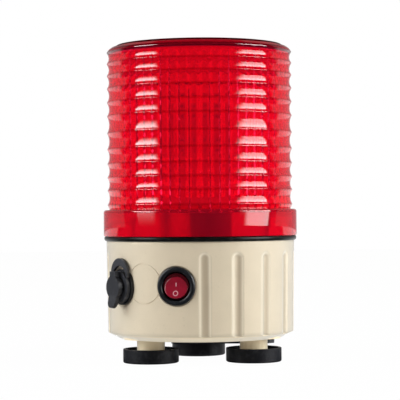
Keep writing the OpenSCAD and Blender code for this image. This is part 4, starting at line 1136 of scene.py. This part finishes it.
@dataclass
class Electrics(SubAssembly):
    """Battery and charging board."""

    FINISHES = {
        FINISH.deck: ["battery_tray", "battery_cover"],
        FINISH.cell: ["battery_cells"],
        FINISH.screw: ["cover_screws", "board_screws"],
        FINISH.board: ["charge_board"],
        FINISH.board_part: ["board_parts"],
    }


@dataclass(frozen=True)
class Edge:
    """Soft edge of something in the studio, along a plane through the object.

    Its level at a place or in a direction is across |x| + away y + up z, and what it bounds fades
    in between the levels start and full.
    """

    across: float = 0.0
    away: float = 0.0
    up: float = 0.0
    start: float = -0.02
    full: float = 0.02

    def level(self, axes: tuple[Signal, Signal, Signal]) -> Signal:
        """Level of the edge's plane.

        Args:
            axes: Signals for x, y and z.

        Returns:
            The level, 0 on the plane.
        """
        x, y, z = axes
        pairs = ((abs(x), self.across), (y, self.away), (z, self.up))
        parts = [axis * factor for axis, factor in pairs if factor]
        return sum(parts[1:], parts[0])

    def mask(self, axes: tuple[Signal, Signal, Signal]) -> Signal:
        """Rises from 0 at the level start to 1 at the level full."""
        return self.level(axes).ramp(self.start, self.full)


@dataclass
class Studio:
    """Floor, lamps, surroundings and camera of a plain white studio.

    The lamps light only what is dull. Mirrors see two softboxes and a backdrop that are drawn in
    the world, between edges and between heights, where a height is the z of a direction.
    """

    floor_r: float = 3.0
    floor_rings: tuple[float, ...] = (0.05, 0.2, 1.0)
    floor_columns: int = 48
    floor_tone: float = 0.9
    floor_glow: float = 0.985
    floor_edge: Edge = Edge(across=-0.42, away=1.0, start=-0.04, full=0.08)
    lamp_distance: float = 1.6
    lamp_bearing: float = 76.0
    lamp_w: float = 1.28
    lamp_h: float = 1.55
    lamp_z: float = 0.72
    lamp_tint: Colour = (0.91, 1.005, 1.08)
    left_light: float = 4.85
    right_light: float = 6.1
    fill: float = 0.235
    fill_tint: Colour = (1.06, 0.92, 0.75)
    middle: Range = (-0.02, 0.02)
    box_top: float = 14.0
    box_foot: float = 7.2
    box_through: float = 0.25
    box_inner: Edge = Edge(across=0.474, away=0.625, up=-0.11, start=-0.02, full=0.08)
    box_lid: Edge = Edge(away=0.23, up=1.0, start=0.57, full=0.50)
    wide_start: float = -0.11
    wide_heights: Range = (0.05, 0.25)
    right_outer: Edge = Edge(across=-0.05, away=-1.0, up=0.435)
    right_heights: Range = (0.15, 0.55)
    right_foot: Range = (-0.35, -0.15)
    left_outer: Edge = Edge(across=-0.231, away=-1.0, up=0.585)
    left_heights: Range = (-0.04, 0.47)
    backdrop: float = 0.32
    backdrop_edge: Edge = Edge(across=-0.177, away=1.0, up=-0.495)
    rim: float = 1.5
    rim_range: Range = (0.92, 1.0)
    beyond: float = 1.15
    beyond_edge: Edge = Edge(across=-0.177, away=1.0, up=-0.2, start=-0.1, full=0.1)
    dark_room: float = 0.012
    camera_at: tuple[float, float, float] = (0.0, -1.044, 0.0912)
    camera_aim: tuple[float, float, float] = (0.0, 0.0, 0.099)
    camera_roll: float = -0.45
    lens_mm: float = 150.95
    sensor_mm: float = 36.0

    def floor(self) -> None:
        """Pale disc that reads white where a camera, mirror or lens sees it and keeps the shadow.

        Its points are r (cos a, sin a) for rings of growing radius r. Mirrors see it dark in
        front of the object and white behind it.
        """
        material = bpy.data.materials.new("floor_finish")
        material.use_nodes = True
        shader = Shader(material.node_tree)
        camera, glossy, through = shader.rays("Camera", "Glossy", "Transmission")
        behind = self.floor_edge.mask(shader.axes(shader.place()))
        plain = shader.value("ShaderNodeBsdfDiffuse", None, {"Color": (self.floor_tone,) * 3})
        glow = shader.value("ShaderNodeEmission", None, {"Strength": behind.larger(camera)})
        glowing = (camera * self.floor_glow).larger(glossy.larger(through))
        surface = shader.mixed(glowing, plain, glow)
        shader.node("ShaderNodeOutputMaterial", None, {"Surface": surface})
        radii = np.array(self.floor_rings)[:, None] * self.floor_r
        disc = Surface("floor")
        disc.add(turned(radii, np.zeros(len(radii)), self.floor_columns), first_pole=(0, 0, 0))
        disc.made(material)

    def surroundings(self) -> None:
        """World: white to the camera, boxes and a backdrop for mirrors, a soft fill for the rest.

        Each softbox is bounded by planes through the object, so that its edges run straight
        across the lens, and it grows brighter towards its top. The left box starts above the
        horizon, and the right one grows wider with its height. What is seen through the lens is
        the wall beyond it.
        """
        world = bpy.data.worlds.new("studio")
        world.use_nodes = True
        world.cycles.sampling_method = "NONE"
        shader = Shader(world.node_tree)
        camera, glossy, through = shader.rays("Camera", "Glossy", "Transmission")
        axes = x, y, z = shader.axes(shader.place(Space.DIRECTION))
        right = x.ramp(*self.middle)
        inner = self.box_inner.mask(axes)
        wide = self.box_inner.level(axes).ramp(self.wide_start, self.box_inner.full)
        inner_right = inner.larger(wide * z.ramp(*self.wide_heights))
        level_right = z.ramp(*self.right_heights) * (self.box_top - self.box_foot) + self.box_foot
        level_left = z.ramp(*self.left_heights) * self.box_top
        box_right = right * inner_right * self.right_outer.mask(axes) * level_right
        box_left = (1.0 - right) * inner * self.left_outer.mask(axes) * level_left
        box = self.box_lid.mask(axes) * (box_right * z.ramp(*self.right_foot) + box_left)
        straight = y.ramp(*self.rim_range) * self.rim + 1.0
        behind = self.backdrop_edge.mask(axes) * self.backdrop * straight
        mirrored = (behind + box).larger(self.dark_room)
        beyond = self.beyond_edge.mask(axes) * self.beyond + box * self.box_through
        level = self.fill + (1.0 - self.fill) * camera
        level = level + (mirrored - level) * (glossy * (1.0 - camera))
        level = level + (beyond.larger(self.dark_room) - level) * (through * (1.0 - camera))
        tint = shader.blend(camera.larger(glossy).larger(through), self.fill_tint, (1.0, 1.0, 1.0))
        glow = shader.value("ShaderNodeBackground", None, {"Color": tint, "Strength": level})
        shader.node("ShaderNodeOutputWorld", None, {"Surface": glow})
        bpy.context.scene.world = world

    def lamp(self, name: str, bearing: float, light: float) -> None:
        """Upright softbox that lights what is dull, and that mirrors and the lens don't show.

        Args:
            name: The lamp's name.
            bearing: Degrees from the camera's direction, to the right of the object.
            light: Radiance of the box.
        """
        turn = math.radians(bearing)
        data = bpy.data.lights.new(name, "AREA")
        data.shape = "RECTANGLE"
        data.size = self.lamp_w
        data.size_y = self.lamp_h
        data.energy = math.pi * self.lamp_w * self.lamp_h * light
        data.use_nodes = True
        shader = Shader(data.node_tree)
        glow = shader.value("ShaderNodeEmission", None, {"Color": self.lamp_tint, "Strength": 1.0})
        shader.node("ShaderNodeOutputLight", None, {"Surface": glow})
        made = bpy.data.objects.new(name, data)
        made.location = (math.sin(turn) * self.lamp_distance, -math.cos(turn) * self.lamp_distance,
                         self.lamp_z)
        made.rotation_euler = (math.pi / 2.0, 0.0, turn)
        made.visible_camera = False
        made.visible_glossy = False
        made.visible_transmission = False
        bpy.context.scene.collection.objects.link(made)

    def camera(self) -> None:
        """Camera at the photograph's height and distance, a little rolled as the photograph is."""
        data = bpy.data.cameras.new("camera")
        data.sensor_width = self.sensor_mm
        data.lens = self.lens_mm
        made = bpy.data.objects.new("camera", data)
        sight = Vector(self.camera_aim) - Vector(self.camera_at)
        look = sight.to_track_quat("-Z", "Y").to_matrix()
        roll = Matrix.Rotation(math.radians(self.camera_roll), 3, "Z")
        made.matrix_world = Matrix.Translation(self.camera_at) @ (look @ roll).to_4x4()
        bpy.context.scene.collection.objects.link(made)
        bpy.context.scene.camera = made

    def build(self) -> None:
        """Sets up the whole studio."""
        self.floor()
        self.surroundings()
        self.lamp("softbox_left", -self.lamp_bearing, self.left_light)
        self.lamp("softbox_right", self.lamp_bearing, self.right_light)
        self.camera()
        bpy.context.scene.view_settings.view_transform = "Standard"


def main() -> None:
    """Builds the studio and every sub-assembly in order."""
    logging.basicConfig(level=logging.INFO, format="%(message)s")
    for part in (Studio(), Lens(), Housing(), Feet(), Switch(), Socket(), Drive(), Lamp(),
                 Electrics()):
        part.build()
        LOG.info("%s is built", type(part).__name__)


if __name__ == "__main__":
    main()
